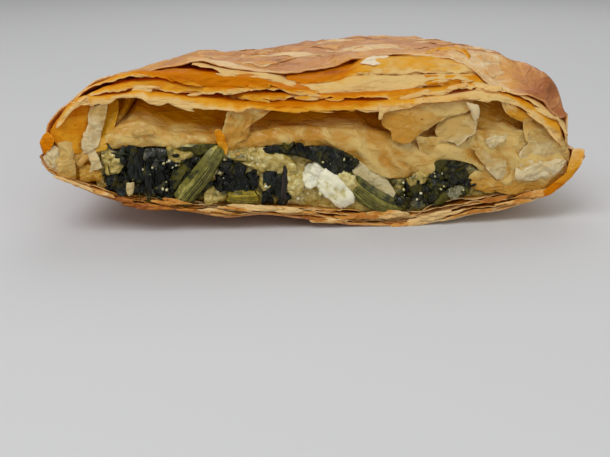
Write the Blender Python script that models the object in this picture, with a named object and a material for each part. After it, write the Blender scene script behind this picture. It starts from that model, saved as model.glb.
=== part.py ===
"""Spinach bougatsa: the part of a phyllo parcel that is left after a cut across it.

Blender 4.5, metres, +Z up. Sizes below are in millimetres and become metres where a vertex is made.
X runs along the cut (+X is the end whose bottom crust curls up), +Y goes into the parcel away from
the cut, and Z = 0 is the flat patch that it rests on.

The crust, the soft inner layer and the filling are lofts: a (y, z) outline, worked out at each
station along X, is joined to the next one. The crust's outline has a tooth for each ply that shows.
"""

import math
import random

import bmesh
import bpy
import numpy as np
from mathutils import Vector
from mathutils.geometry import delaunay_2d_cdt

MM = 0.001

# Driving dimensions, in millimetres.
X_LEFT = -68.0
X_RIGHT = 74.0
Y_CUT = -44.0
Y_BACK = 46.0
CORNER = 26.0            # plan radius of the two far corners
BACK_WALL = 6.0          # crust between the filling and the far side
POCKET_LEFT = -66.0      # the hollow in the crust runs between these
POCKET_RIGHT = 69.0
PLY = 0.7                # thickness given to one ply, so that it is a solid
CLEAR = 0.45             # air between neighbouring solids
LEVEL_GAP = 0.3          # least height between two levels of the crust's outline
LEAF_DEPTH = 1.4         # the leaves' middle lies this far behind the cut
TOP_FADE_START = -8.0    # from this Y the top starts to fall towards the far side
BASE_FADE_START = 20.0   # and from this one the underside starts to rise
REST_FRONT = -36.0       # the flat patch underneath ends here, and the crust lifts towards the cut
TAPER_LEFT = 7.0         # how far the left end draws in behind the cut
TAPER_RIGHT = 4.0
BEND_REACH = 40.0        # both ends draw in, and the top sinks, over this length from the cut
MOST_DROOP = 0.5         # no more than this share of the height over the seam sinks

STATIONS = 34            # outlines along X; the solids inside the crust use the same ones
SOFT_ENDS = (-62.5, 65.5)
FILLING_ENDS = (-54.5, 49.0)
# Where an outline turns on its way into the hollow, as shares of the hollow's depth.
CUTS = (0.0, 0.1, 0.28, 0.55, 0.8, 0.94)

# Outlines seen at the cut: (x, z) of each smooth line, in millimetres.
TOP = ((-68, 20), (-67, 26), (-62, 32.2), (-54, 38.5), (-47, 41.2), (-39, 42.6), (-30, 42.6), (-20, 41.8),
       (0, 42), (20, 43.6), (38, 43.8), (50, 43), (60, 39.8), (65, 36.4), (68, 32), (69.2, 27), (70.2, 22.6),
       (72, 21), (74, 20))
BOTTOM = ((-68, 20), (-66, 17.5), (-62, 14.5), (-53, 10), (-41, 5.5), (-27, 1.6), (-20, 0), (36, 0),
          (44, 2.4), (52, 4.5), (62, 8), (69, 12), (73, 16.5), (74, 20))
CEILING = ((-68, 21), (-64, 26), (-61, 30), (-57, 33), (-50, 33.6), (-44, 34.6), (-38, 32.8),
           (-20, 31.2), (0, 30.9), (16, 31), (26, 31.8), (34, 33), (44, 33), (50, 32.4), (57, 29.5),
           (62, 24.8), (66, 20), (70, 17))
FLOOR = ((-68, 19), (-63, 15.8), (-58, 13.2), (-49, 10.2), (-36, 8.4), (-20, 6.4), (-6, 5.4), (6, 4),
         (18, 3.1), (26, 3), (34, 4), (46, 6.2), (54, 7.8), (62, 10.4), (67, 13), (70, 16))
PLY_2 = ((-68, 24), (-54, 37), (-40, 41), (-27, 41), (-22, 39.8), (-14, 38.8), (-8, 37), (0, 34.8),
         (10, 34.6), (20, 35.8), (28, 37.5), (42, 37.4), (50, 36.4), (60, 33), (70, 26))
PLY_3 = ((-68, 23), (-56, 36), (-48, 37.4), (-38, 38.6), (-22, 37.2), (-10, 35.8), (0, 33.6),
         (18, 34), (24, 33), (32, 33.9), (40, 35.4), (50, 34.4), (60, 30.5), (70, 23))
# The skin sags near the cut by this much, and the bottom crust lifts by the next.
SAG = ((-68, 0), (-30, 0), (-12, 2.6), (6, 3.2), (24, 2.2), (40, 3.4), (55, 3.6), (74, 1))
LIFT = ((-68, 0), (-45, 0.6), (-34, 2.6), (-22, 3.4), (-13, 4.2), (-4, 3), (6, 1.4), (14, 0.5), (28, 0.2),
        (35, 1.5), (43, 1.8), (52, 0.6), (62, 0), (74, 0))
# The top sinks by this much behind the cut.
DROOP = ((-68, 3), (-62, 6), (-54, 9), (-44, 7.8), (-36, 5.2), (-28, 3), (-14, 2.6), (-4, 1.2), (6, 0), (74, 0))
# (x, y) of the front edge of each ply, before its ragged outline.
SKIN_EDGE = ((-68, -43), (-30, -42), (-22, -36), (-8, -32.5), (20, -31.5), (36, -33), (46, -39),
             (56, -42), (74, -43))
PLY_2_EDGE = ((-68, -43.4), (-30, -42.6), (-20, -39), (0, -38), (40, -38.5), (50, -42), (74, -43.4))
PLY_3_EDGE = ((-68, -43.6), (-30, -43), (0, -41.4), (40, -41.2), (50, -43), (74, -43.6))
LIP_EDGE = ((-68, -44), (0, -44), (74, -44))
BASE_EDGE = ((-68, -43), (0, -43.2), (74, -43))
CRUST_EDGE = ((-68, -44.2), (-20, -45), (30, -45.4), (60, -44.6), (74, -44.2))
# Lower edge of the soft inner layer where it shows over the filling, and its upper one.
SOFT_UNDER = ((-68, 16), (-57, 12.9), (-55, 14), (-52, 21), (-48, 23.4), (-36, 23), (-28, 22),
              (-15, 20.8), (-6, 22.4), (4, 20.6), (11, 18), (18, 13.6), (24, 12.2), (32, 13.2),
              (37, 16.4), (43, 16.4), (47, 12.5), (50, 7.4), (70, 12))
SOFT_OVER = ((-68, 21), (-62, 22.5), (-56, 22.6), (-52, 26.5), (-46, 28.4), (-40, 27.4), (-30, 24.2),
             (-15, 23), (-6, 24.6), (4, 23.4), (12, 22.4), (20, 21.4), (30, 21.6), (36, 23), (44, 24.4),
             (52, 23.6), (60, 21.4), (66, 18), (70, 17))


def smooth_line(points):
    """Return f(x) through the points: a monotone cubic, flat at each local high or low."""
    xs = np.array([p[0] for p in points], float)
    zs = np.array([p[1] for p in points], float)
    steps = np.diff(xs)
    slopes = np.diff(zs) / steps
    tangents = np.zeros(len(xs))
    tangents[0] = slopes[0]
    tangents[-1] = slopes[-1]
    same_way = slopes[:-1] * slopes[1:] > 0
    harmonic = 2 * slopes[:-1] * slopes[1:] / np.where(same_way, slopes[:-1] + slopes[1:], 1)
    tangents[1:-1] = np.where(same_way, harmonic, 0)

    def value(x):
        x = min(max(x, xs[0]), xs[-1])
        i = min(int(np.searchsorted(xs, x, side="right")) - 1, len(steps) - 1)
        t = (x - xs[i]) / steps[i]
        rise = zs[i] * (1 - t) ** 2 * (1 + 2 * t) + zs[i + 1] * t * t * (3 - 2 * t)
        lean = steps[i] * (tangents[i] * t * (1 - t) ** 2 - tangents[i + 1] * t * t * (1 - t))
        return float(rise + lean)

    return value


TOP_LINE, BOTTOM_LINE = smooth_line(TOP), smooth_line(BOTTOM)
CEILING_LINE, FLOOR_LINE = smooth_line(CEILING), smooth_line(FLOOR)
PLY_2_LINE, PLY_3_LINE, SAG_LINE = smooth_line(PLY_2), smooth_line(PLY_3), smooth_line(SAG)
SOFT_UNDER_LINE, SOFT_OVER_LINE = smooth_line(SOFT_UNDER), smooth_line(SOFT_OVER)
LIFT_LINE, DROOP_LINE = smooth_line(LIFT), smooth_line(DROOP)
EDGE_LINES = tuple(smooth_line(e) for e in (SKIN_EDGE, PLY_2_EDGE, PLY_3_EDGE, LIP_EDGE, BASE_EDGE,
                                            CRUST_EDGE))


def clamp(value, low=0.0, high=1.0):
    """The value, kept between low and high."""
    return min(max(value, low), high)


def smooth_step(value):
    """0 below 0, 1 above 1, and a smooth rise between."""
    t = clamp(value)
    return t * t * (3 - 2 * t)


def wave(value, phase):
    """A triangle wave between -1 and 1 of period 1."""
    return 4 * abs((value + phase) % 1.0 - 0.5) - 1


def ragged(x, phase, depth):
    """How far a torn edge at x stands from its mean line."""
    return depth * (0.5 * wave(x / 17.0, phase) + 0.3 * wave(x / 9.3, 2 * phase) + 0.2 * wave(x / 6.1, phase))


def wrinkle(x, y):
    """Height of the baked creases, which run mostly along X."""
    across = y + 3 * math.sin(x / 19.0 + 1) + 1.5 * math.sin(x / 8.0)
    long_folds = 0.55 * math.sin(across / 2.1 + 0.6 * math.sin(x / 13.0))
    blisters = 0.5 * math.sin(x / 5.2 + 2 * math.sin(y / 11.0)) * math.sin(y / 6.3 + 1)
    return long_folds + blisters


def back_y(x):
    """Y of the far side at x: straight, with two rounded corners."""
    middle = (X_LEFT + X_RIGHT) / 2
    over = abs(x - middle) - ((X_RIGHT - X_LEFT) / 2 - CORNER)
    if over <= 0:
        return Y_BACK
    return Y_BACK - CORNER + CORNER * math.sqrt(max(0.0, 1 - (over / CORNER) ** 2))


def pocket_y(x):
    """Y of the far wall of the hollow at x, near the cut where the hollow ends."""
    middle = (POCKET_LEFT + POCKET_RIGHT) / 2
    off = abs(x - middle) / ((POCKET_RIGHT - POCKET_LEFT) / 2)
    depth = (1 - min(off, 1.0) ** 8) ** 0.5
    return Y_CUT + 3 + (back_y(x) - BACK_WALL - Y_CUT - 3) * depth


def fade(y, far, power, start=TOP_FADE_START):
    """1 as far back as start, then falling to 0 at the far side as a rounded edge."""
    along = clamp((y - start) / max(far - start, 1.0))
    return math.sqrt(max(0.0, 1 - along ** power))


def seam_z(x):
    """Height at which the top and the bottom meet at the far side."""
    return BOTTOM_LINE(x) + 0.42 * (TOP_LINE(x) - BOTTOM_LINE(x))


def bent(point):
    """Where a point of the straight parcel lies: its ends draw in and its left part sinks behind the cut."""
    x, y, z = point
    behind = clamp((y - Y_CUT - 1) / BEND_REACH)
    middle = (X_LEFT + X_RIGHT) / 2
    off = (x - middle) / (X_RIGHT - middle)
    inward = (TAPER_LEFT if off < 0 else TAPER_RIGHT) * abs(off) ** 2.5 * behind
    seam = seam_z(x)
    share = min(DROOP_LINE(x) / max(TOP_LINE(x) - seam, 1.0), MOST_DROOP)
    sunk = max(z - seam, 0.0) * share * behind
    return x - math.copysign(inward, off), y, z - sunk


def top_z(x, y):
    """Height of the skin at (x, y), before it is bent."""
    end = clamp((TOP_LINE(x) - BOTTOM_LINE(x)) / 20)
    shape = fade(y, back_y(x), 2.6)
    sag = SAG_LINE(x) * smooth_step((-26 - y) / 14)
    height = TOP_LINE(x) - seam_z(x) - sag + wrinkle(x, y) * end
    return seam_z(x) + height * shape


def bottom_z(x, y):
    """Height of the crust's underside at (x, y)."""
    lift = LIFT_LINE(x) * smooth_step((REST_FRONT - y) / 8)
    return seam_z(x) - (seam_z(x) - BOTTOM_LINE(x) - lift) * fade(y, back_y(x), 3, BASE_FADE_START)


def spread(levels, room):
    """Push rising levels apart so that none crosses, and keep the first and the last."""
    gap = min(LEVEL_GAP, 0.8 * room / (len(levels) - 1))
    spaced = list(levels)
    for i in range(1, len(spaced)):
        spaced[i] = max(spaced[i], spaced[i - 1] + gap)
    spaced[-1] = levels[-1]
    for i in range(len(spaced) - 2, -1, -1):
        spaced[i] = min(spaced[i], spaced[i + 1] - gap)
    return spaced


def crust_levels(x):
    """Heights of every ply face at the cut, from the bottom up."""
    bottom, top = bottom_z(x, Y_CUT), top_z(x, EDGE_LINES[0](x))
    floor, ceiling = FLOOR_LINE(x), CEILING_LINE(x)
    ply_2, ply_3 = PLY_2_LINE(x), PLY_3_LINE(x)
    levels = [bottom, bottom + PLY, floor - PLY, floor, ceiling, ceiling + PLY, ply_3 - PLY, ply_3,
              ply_2 - PLY, ply_2, top - PLY, top]
    return spread(levels, top - bottom)


def pocket_faces(x, y, levels):
    """Floor and ceiling of the hollow at (x, y)."""
    shape = fade(y, pocket_y(x), 2.6)
    seam = clamp(seam_z(x), levels[3] + 0.1, levels[4] - 0.1)
    return seam - (seam - levels[3]) * shape, seam + (levels[4] - seam) * shape


def cut_ys(x):
    """Y of each turn of an outline inside the hollow at x, shared by all that meets there."""
    front = Y_CUT + 2.4
    return [front + (pocket_y(x) - front) * t for t in CUTS]


def crust_section(x):
    """(y, z) outline of the crust at x, from the far side over the top and back underneath."""
    levels = crust_levels(x)
    room = clamp((levels[-1] - levels[0]) / 22, 0.08)
    skin, ply_2, ply_3, lip, base, outer = (line(x) for line in EDGE_LINES)
    skin += ragged(x, 0.1, 1.8) * room
    ply_2 = min(ply_2 + ragged(x, 0.4, 1.2) * room, skin - 0.3)
    ply_3 = min(ply_3 + ragged(x, 0.7, 1.2) * room, ply_2 - 0.3)
    lip = min(lip + ragged(x, 0.9, 1.2) * room, ply_3 - 0.3)
    base += ragged(x, 0.25, 1.0) * room
    outer = min(outer + ragged(x, 0.6, 1.2) * room, base - 0.3)
    far = back_y(x)

    outline = []
    for t in np.linspace(1, 0, 9):
        y = skin + (far - skin) * (1 - (1 - t) ** 1.7)
        outline.append((y, top_z(x, y)))
    fronts = (skin, ply_2, ply_3, lip)
    depths = (9.0, 8.0, 7.0)
    for i, depth in enumerate(depths):
        under = levels[10 - 2 * i]
        over = levels[9 - 2 * i]
        outline.append((fronts[i], under))
        outline.append((fronts[i] + depth * room, (under + over) / 2))
        outline.append((fronts[i], over))
        outline.append((fronts[i + 1], over))
    deep = pocket_y(x)
    walls = [pocket_faces(x, y, levels) for y in cut_ys(x)]
    outline.append((lip, levels[4]))
    outline += [(y, wall[1]) for y, wall in zip(cut_ys(x), walls)]
    outline.append((deep, sum(pocket_faces(x, deep, levels)) / 2))
    outline += [(y, wall[0]) for y, wall in reversed(list(zip(cut_ys(x), walls)))]
    outline.append((base, levels[3]))
    outline.append((base, levels[2]))
    outline.append((base + 6.0 * room, (levels[2] + levels[1]) / 2))
    outline.append((base, levels[1]))
    outline.append((outer, levels[1]))
    for t in (0.0, 0.05, 0.11, 0.7, 0.87, 0.96):
        y = outer + (far - outer) * t
        outline.append((y, bottom_z(x, y)))
    return outline


def soft_faces(x, y):
    """Under and upper face of the soft inner layer at (x, y), inside the hollow."""
    levels = crust_levels(x)
    low, high = levels[3], levels[4]
    floor, ceiling = pocket_faces(x, y, levels)
    floor += CLEAR
    ceiling -= CLEAR
    under = clamp((SOFT_UNDER_LINE(x) - low) / (high - low))
    over = clamp((SOFT_OVER_LINE(x) - low) / (high - low), under + 0.04)
    over += (1 - over) * smooth_step((y + 40) / 17)
    room = ceiling - floor
    return floor + room * under, floor + room * min(over, 1.0)


def soft_section(x):
    """(y, z) outline of the soft inner layer at x."""
    front = Y_CUT + 1.2 + ragged(x, 0.3, 1.6)
    front += 0.8 * math.sin(x / 4.1) * smooth_step((x - 44) / 3)
    ys = cut_ys(x)
    faces = [soft_faces(x, y) for y in ys]
    upper = [(front, faces[0][1] - 0.3)] + [(y, face[1]) for y, face in zip(ys, faces)]
    under = [(front, faces[0][0])] + [(y, face[0]) for y, face in zip(ys, faces)]
    return upper[::-1] + under


def filling_faces(x, y):
    """Floor and top of the filling at (x, y), clear of the crust and of the soft layer."""
    floor = pocket_faces(x, y, crust_levels(x))[0] + CLEAR
    under = soft_faces(x, y)[0]
    return floor, max(under - CLEAR, (floor + under) / 2)


def filling_section(x):
    """(y, z) outline of the filling's core at x, with a lumpy front."""
    ys = cut_ys(x)
    faces = [filling_faces(x, y) for y in ys]
    upper = [(y, face[1]) for y, face in zip(ys, faces)]
    lower = [(y, face[0]) for y, face in zip(ys, faces)]
    low, high = faces[0]
    front = []
    for t in (0.15, 0.38, 0.62, 0.85):
        z = high + (low - high) * t
        lump = 0.9 * math.sin(x / 2.6 + z / 1.7) + 0.6 * math.sin(x / 4.7 - z / 2.9 + 1)
        front.append((ys[0] - 0.4 - lump * math.sin(math.pi * t), z))
    return upper[::-1] + front + lower


def stations_between(left, right):
    """The stations from left to right, which lie closer together towards the crust's two ends."""
    inset = 0.3
    middle, half = (X_LEFT + X_RIGHT) / 2, (X_RIGHT - X_LEFT) / 2 - inset
    turns = np.linspace(-1, 1, STATIONS)
    line = [middle + half * (0.72 * t + 0.28 * math.sin(t * math.pi / 2)) for t in turns]
    return [x for x in line if left <= x <= right]


def material(name, colour, roughness):
    """A Principled material with the given linear colour."""
    made = bpy.data.materials.new(name)
    made.use_nodes = True
    shader = made.node_tree.nodes["Principled BSDF"]
    shader.inputs["Base Color"].default_value = (*colour, 1.0)
    shader.inputs["Roughness"].default_value = roughness
    return made


def as_object(name, mesh_data, finish):
    """Bend a bmesh as the parcel is, and turn it into a named object in the scene."""
    for vertex in mesh_data.verts:
        vertex.co = Vector(bent(vertex.co / MM)) * MM
    bmesh.ops.recalc_face_normals(mesh_data, faces=mesh_data.faces)
    mesh = bpy.data.meshes.new(name)
    mesh_data.to_mesh(mesh)
    mesh_data.free()
    mesh.materials.append(finish)
    made = bpy.data.objects.new(name, mesh)
    bpy.context.scene.collection.objects.link(made)
    return made


def close_end(shape, ring, outline):
    """Close one end of a loft with triangles that stay inside its outline."""
    whole = [list(range(len(outline)))]
    inside, merge = 1, 1e-5
    _, _, faces, origins, _, _ = delaunay_2d_cdt([Vector(p) for p in outline], [], whole, inside, merge)
    for face in faces:
        shape.faces.new([ring[origins[i][0]] for i in face])


def loft(name, stations, section, finish):
    """Join the outlines at each station into one closed solid.

    Every four corners are split the same way, so that two lofts which follow each other stay apart.
    """
    shape = bmesh.new()
    outlines = [section(x) for x in stations]
    rings = [[shape.verts.new((x * MM, y * MM, z * MM)) for y, z in outline]
             for x, outline in zip(stations, outlines)]
    for near, far in zip(rings, rings[1:]):
        for i in range(len(near)):
            j = (i + 1) % len(near)
            back, front = (i, j) if near[i].co.y > near[j].co.y else (j, i)
            shape.faces.new((near[back], near[front], far[front]))
            shape.faces.new((near[back], far[front], far[back]))
    close_end(shape, rings[0], outlines[0])
    close_end(shape, rings[-1], outlines[-1])
    return as_object(name, shape, finish)


def patch(name, rows, columns, place, thickness, finish):
    """A thin closed sheet over a grid; place(u, v) gives a point and its unit normal."""
    shape = bmesh.new()
    grids = []
    for side in (0.5, -0.5):
        grid = []
        for r in range(rows + 1):
            line = []
            for c in range(columns + 1):
                point, normal = place(c / columns, r / rows)
                line.append(shape.verts.new((point + normal * side * thickness) * MM))
            grid.append(line)
        grids.append(grid)
    for grid, order in zip(grids, (1, -1)):
        for r in range(rows):
            for c in range(columns):
                corners = (grid[r][c], grid[r][c + 1], grid[r + 1][c + 1], grid[r + 1][c])
                shape.faces.new(corners[:3][::order])
                shape.faces.new((corners[0], corners[2], corners[3])[::order])
    border = [(0, c) for c in range(columns)] + [(r, columns) for r in range(rows)]
    border += [(rows, c) for c in range(columns, 0, -1)] + [(r, 0) for r in range(rows, 0, -1)]
    for (r0, c0), (r1, c1) in zip(border, border[1:] + border[:1]):
        shape.faces.new((grids[0][r0][c0], grids[1][r0][c0], grids[1][r1][c1], grids[0][r1][c1]))
    return as_object(name, shape, finish)


def keep_largest(mesh):
    """Fill sealed hollows and drop loose scraps: only the largest connected part stays."""
    shape = bmesh.new()
    shape.from_mesh(mesh)
    left, parts = set(shape.verts), []
    while left:
        found, queue = set(), [left.pop()]
        while queue:
            vertex = queue.pop()
            found.add(vertex)
            near = {edge.other_vert(vertex) for edge in vertex.link_edges} & left
            left -= near
            queue.extend(near)
        parts.append(found)
    parts.sort(key=len)
    for scrap in parts[:-1]:
        bmesh.ops.delete(shape, geom=list(scrap), context="VERTS")
    shape.to_mesh(mesh)
    shape.free()


def combine(target, pieces, operation):
    """Union with, or cut by, every piece, then remove the pieces."""
    group = bpy.data.collections.new(target.name + "_" + operation)
    bpy.context.scene.collection.children.link(group)
    for piece in pieces:
        group.objects.link(piece)
    modifier = target.modifiers.new("combine", "BOOLEAN")
    modifier.operation = operation
    modifier.operand_type = "COLLECTION"
    modifier.collection = group
    modifier.solver = "MANIFOLD"
    evaluated = target.evaluated_get(bpy.context.evaluated_depsgraph_get())
    result = bpy.data.meshes.new_from_object(evaluated)
    target.modifiers.remove(modifier)
    keep_largest(result)
    target.data = result
    for piece in pieces:
        bpy.data.objects.remove(piece, do_unlink=True)
    bpy.data.collections.remove(group)


def unit(vector):
    """The vector at length 1."""
    return vector / np.linalg.norm(vector)


def sheet_place(origin, across, down, curl, jag):
    """A curled flake: u goes across, v down from its root, bending towards the viewer."""
    origin, across, down = (np.array(v, float) for v in (origin, across, down))
    normal = unit(np.cross(across, down))

    def place(u, v):
        reach = 1 - jag * (0.5 + 0.5 * wave(u * 2.3, 0.2))
        bow = curl * (math.sin(math.pi * u) * 0.8 + v * v * 0.7)
        point = origin + across * (u - 0.5) * (1 - 0.35 * v) + down * v * reach + normal * bow
        tilt = unit(normal - unit(down) * curl * v * 0.04)
        return point, tilt

    return place


def crust_flakes(finish):
    """Flakes that hang from the lip and flakes that lie on the skin, to fuse to the crust."""
    hanging = (
        ((25.5, -42.4, 32.6), (13, 1, 0.8), (1.5, 0.5, -9.5), 1.6, 0.25),
        ((36.5, -42.8, 33.6), (9, 0.5, 0.6), (0.6, 1.0, -6.5), 1.2, 0.3),
        ((40.0, -42.6, 33.4), (6.0, -1, 0), (-1.0, -0.6, -8.0), 1.0, 0.2),
        ((-45.0, -41.5, 35.0), (8, 0.5, 0.5), (1.5, 2.2, -5.4), 1.2, 0.3),
        ((17.0, -43.0, 31.9), (3.4, 0.3, 0), (0.4, 0.2, -3.8), 0.5, 0.2),
    )
    flakes = []
    for i, (origin, across, down, curl, jag) in enumerate(hanging):
        place = sheet_place(origin, across, down, curl, jag)
        flakes.append(patch("hanging_flake_%d" % i, 3, 4, place, PLY, finish))
    draw = random.Random(7)
    for i, (x, y) in enumerate(((-38, -18), (-12, 4), (22, -12), (48, 8), (4, 24))):
        turn = draw.uniform(-0.5, 0.5)
        size = draw.uniform(6, 9)

        def place(u, v, x=x, y=y, turn=turn, size=size):
            a = (u - 0.5) * 2.2 * size * (1 + 0.25 * wave(v * 1.7, turn))
            b = (v - 0.5) * size * (1 + 0.35 * wave(u * 2.2, turn))
            px = x + a * math.cos(turn) - b * math.sin(turn)
            py = y + a * math.sin(turn) + b * math.cos(turn)
            lift = 0.35 * math.sin(math.pi * u) * v
            return np.array((px, py, top_z(px, py) - 0.55 + lift)), np.array((0.0, 0.0, 1.0))

        flakes.append(patch("skin_flake_%d" % i, 2, 4, place, 2.0, finish))
    return flakes


def tube(name, points, widths, flatness, finish, swell=0.0):
    """A ribbed stalk along the points, as wide as given at each; swell makes room around it."""
    sides = 8
    shape = bmesh.new()
    rings = []
    count = len(points)
    for i, (x, y, z) in enumerate(points):
        before, after = points[max(i - 1, 0)], points[min(i + 1, count - 1)]
        along = unit(np.array(after, float) - np.array(before, float))
        side = unit(np.cross(along, (0.0, -1.0, 0.0)))
        front = np.cross(side, along)
        ring = []
        for k in range(sides):
            turn = 2 * math.pi * k / sides
            rib = 1 + 0.1 * (-1) ** k
            reach = widths[i] / 2 * rib + swell
            offset = side * math.cos(turn) * reach + front * math.sin(turn) * (reach * flatness)
            end = along * (swell * (-1 if i == 0 else 1) if i in (0, count - 1) else 0.0)
            ring.append(shape.verts.new((np.array((x, y, z), float) + offset + end) * MM))
        rings.append(ring)
    for near, far in zip(rings, rings[1:]):
        for k in range(sides):
            j = (k + 1) % sides
            shape.faces.new((near[k], near[j], far[j], far[k]))
    shape.faces.new(list(reversed(rings[0])))
    shape.faces.new(rings[-1])
    return as_object(name, shape, finish)


def bent_path(start, end, bow, count):
    """Points from start to end that leave the straight line by bow halfway."""
    points = []
    for i in range(count):
        along = i / (count - 1)
        arch = math.sin(math.pi * along)
        points.append(tuple(a + (b - a) * along + c * arch for a, b, c in zip(start, end, bow)))
    return points


def stem_shapes():
    """Name, path, widths and flatness of each spinach stalk that shows."""
    return (
        ("stem_left", bent_path((-31.4, -41.6, 10.4), (-23.6, -41.2, 19.6), (1.0, -0.8, -0.6), 6),
         (3.2, 4.6, 4.4, 4.2, 3.8, 2.6), 0.75),
        ("stem_right", bent_path((10.4, -41.2, 13.6), (24.4, -41.8, 5.8), (-0.4, -0.6, -1.1), 6),
         (2.6, 4.0, 4.6, 4.8, 4.2, 2.8), 0.75),
        ("stem_stub", bent_path((-20.6, -42.0, 9.1), (-13.8, -42.2, 8.9), (0, -0.3, 0.2), 4),
         (3.0, 3.8, 3.6, 2.8), 0.85),
    )


def feta_shape(name, finish, swell=0.0):
    """The crumbly wedge of feta beside the right stalk."""
    outline = ((-0.8, 12.6), (0.2, 16.0), (3.2, 16.6), (4.4, 14.2), (7.0, 12.2), (8.6, 9.4), (7.4, 7.6),
               (3.8, 8.4))
    middle = (3.9, 12.0)
    depths = ((-43.4, 0.78), (-42.2, 1.0), (-38.0, 1.0), (-35.4, 0.7))
    shape = bmesh.new()
    rings = []
    for i, (y, scale) in enumerate(depths):
        ring = []
        for k, (x, z) in enumerate(outline):
            out = unit(np.array((x - middle[0], z - middle[1])))
            crumb = 0.35 * wave(k * 0.37 + i * 0.29, 0.1)
            px = middle[0] + (x - middle[0]) * scale + out[0] * (crumb + swell)
            pz = middle[1] + (z - middle[1]) * scale + out[1] * (crumb + swell)
            py = y + (swell if i == len(depths) - 1 else -swell if i == 0 else 0)
            ring.append(shape.verts.new((px * MM, py * MM, pz * MM)))
        rings.append(ring)
    for near, far in zip(rings, rings[1:]):
        for k in range(len(near)):
            j = (k + 1) % len(near)
            shape.faces.new((near[k], near[j], far[j], far[k]))
    ends = [shape.faces.new(list(reversed(rings[0]))), shape.faces.new(rings[-1])]
    bmesh.ops.triangulate(shape, faces=ends)
    return as_object(name, shape, finish)


def leaf_pieces(finish):
    """Wavy spinach leaves to fuse to the front of the filling."""
    spots = (
        (-46, 17.0, 4.6, 0.3), (-40.5, 13.8, 4.8, -0.5), (-37.5, 18.4, 3.4, 0.1), (-19.5, 14.4, 4.6, 0.2),
        (-11.5, 16.0, 3.4, 0.8), (-7.6, 10.6, 4.2, -0.4), (31.0, 8.8, 3.4, -0.3), (39.0, 10.6, 3.6, 0.5),
    )
    leaves = []
    for i, (x, z, size, turn) in enumerate(spots):

        def place(u, v, x=x, z=z, size=size, turn=turn):
            a = (u - 0.5) * 2 * size * math.sqrt(1 - (1.6 * (v - 0.5)) ** 2)
            b = (v - 0.5) * 1.5 * size
            px = x + a * math.cos(turn) - b * math.sin(turn)
            floor, top = filling_faces(px, Y_CUT + 2.4)
            pz = clamp(z + (a * math.sin(turn) + b * math.cos(turn)) * 0.8, floor + 0.8 + v, top - 2.4 + v)
            py = Y_CUT + LEAF_DEPTH + 0.5 * math.sin(a * 1.3 + x) + 0.4 * math.cos(b * 1.9 + z)
            return np.array((px, py, pz)), unit(np.array((0.25 * math.cos(a), -1.0, 0.3 * math.sin(b))))

        leaves.append(patch("leaf_%d" % i, 3, 3, place, 1.0, finish))
    return leaves


def build_crust(finish):
    """The crust with its flakes, open at the cut."""
    crust = loft("pastry", stations_between(X_LEFT, X_RIGHT), crust_section, finish)
    combine(crust, crust_flakes(finish), "UNION")
    return crust


def build_soft_layer(finish):
    """The soft plies that lie on the filling, with their folds at both ends."""
    return loft("inner_plies", stations_between(*SOFT_ENDS), soft_section, finish)


def build_filling(finish, stalk_finish, stub_finish, feta_finish):
    """The filling, its stalks and its feta, which lie in hollows cut a little larger."""
    filling = loft("filling", stations_between(*FILLING_ENDS), filling_section, finish)
    combine(filling, leaf_pieces(finish), "UNION")
    for name, path, widths, flatness in stem_shapes():
        room = tube(name + "_room", path, widths, flatness, finish, swell=CLEAR)
        combine(filling, [room], "DIFFERENCE")
        tube(name, path, widths, flatness, stub_finish if name == "stem_stub" else stalk_finish)
    combine(filling, [feta_shape("feta_room", finish, swell=CLEAR)], "DIFFERENCE")
    feta_shape("feta_chunk", feta_finish)
    return filling


def main():
    """Clear the scene and build every solid."""
    for old in list(bpy.data.objects):
        bpy.data.objects.remove(old, do_unlink=True)
    build_crust(material("baked_phyllo", (0.58, 0.30, 0.12), 0.55))
    build_soft_layer(material("soft_phyllo", (0.62, 0.46, 0.20), 0.5))
    build_filling(
        material("spinach", (0.03, 0.06, 0.025), 0.45),
        material("stalk", (0.16, 0.20, 0.045), 0.4),
        material("pale_stalk", (0.32, 0.34, 0.03), 0.4),
        material("feta", (0.86, 0.86, 0.70), 0.6),
    )


if __name__ == "__main__":
    main()
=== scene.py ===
"""Spinach bougatsa: the rest of a phyllo parcel, open at the cut, on a plain pale floor.

Sizes are in millimetres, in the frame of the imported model: X runs along the cut, +Y goes into the
parcel and Z = 0 is the floor. A mesh is turned into metres where its vertices are made.
"""

import logging
import math
from dataclasses import dataclass
from enum import Enum
from typing import Any, Sequence

import bpy
import numpy as np
from mathutils import Matrix, Vector


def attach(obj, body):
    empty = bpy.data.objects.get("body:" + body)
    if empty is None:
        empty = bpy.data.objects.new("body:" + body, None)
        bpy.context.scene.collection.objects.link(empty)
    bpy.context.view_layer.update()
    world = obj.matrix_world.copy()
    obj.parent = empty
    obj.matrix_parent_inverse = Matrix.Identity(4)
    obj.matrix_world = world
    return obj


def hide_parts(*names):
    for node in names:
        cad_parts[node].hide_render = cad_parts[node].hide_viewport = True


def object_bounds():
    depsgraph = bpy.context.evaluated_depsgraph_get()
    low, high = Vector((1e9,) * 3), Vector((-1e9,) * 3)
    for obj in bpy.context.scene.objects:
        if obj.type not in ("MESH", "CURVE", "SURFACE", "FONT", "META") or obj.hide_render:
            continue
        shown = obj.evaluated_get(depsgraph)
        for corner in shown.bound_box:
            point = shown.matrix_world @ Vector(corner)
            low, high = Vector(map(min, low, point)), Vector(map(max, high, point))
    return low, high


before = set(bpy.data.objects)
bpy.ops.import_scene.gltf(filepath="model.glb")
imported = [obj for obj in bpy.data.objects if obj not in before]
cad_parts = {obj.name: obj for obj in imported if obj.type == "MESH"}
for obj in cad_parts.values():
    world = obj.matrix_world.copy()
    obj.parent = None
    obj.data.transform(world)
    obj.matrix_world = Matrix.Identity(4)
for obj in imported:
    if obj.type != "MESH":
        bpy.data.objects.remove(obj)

CAD_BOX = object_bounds()
MM = 0.001
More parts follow.
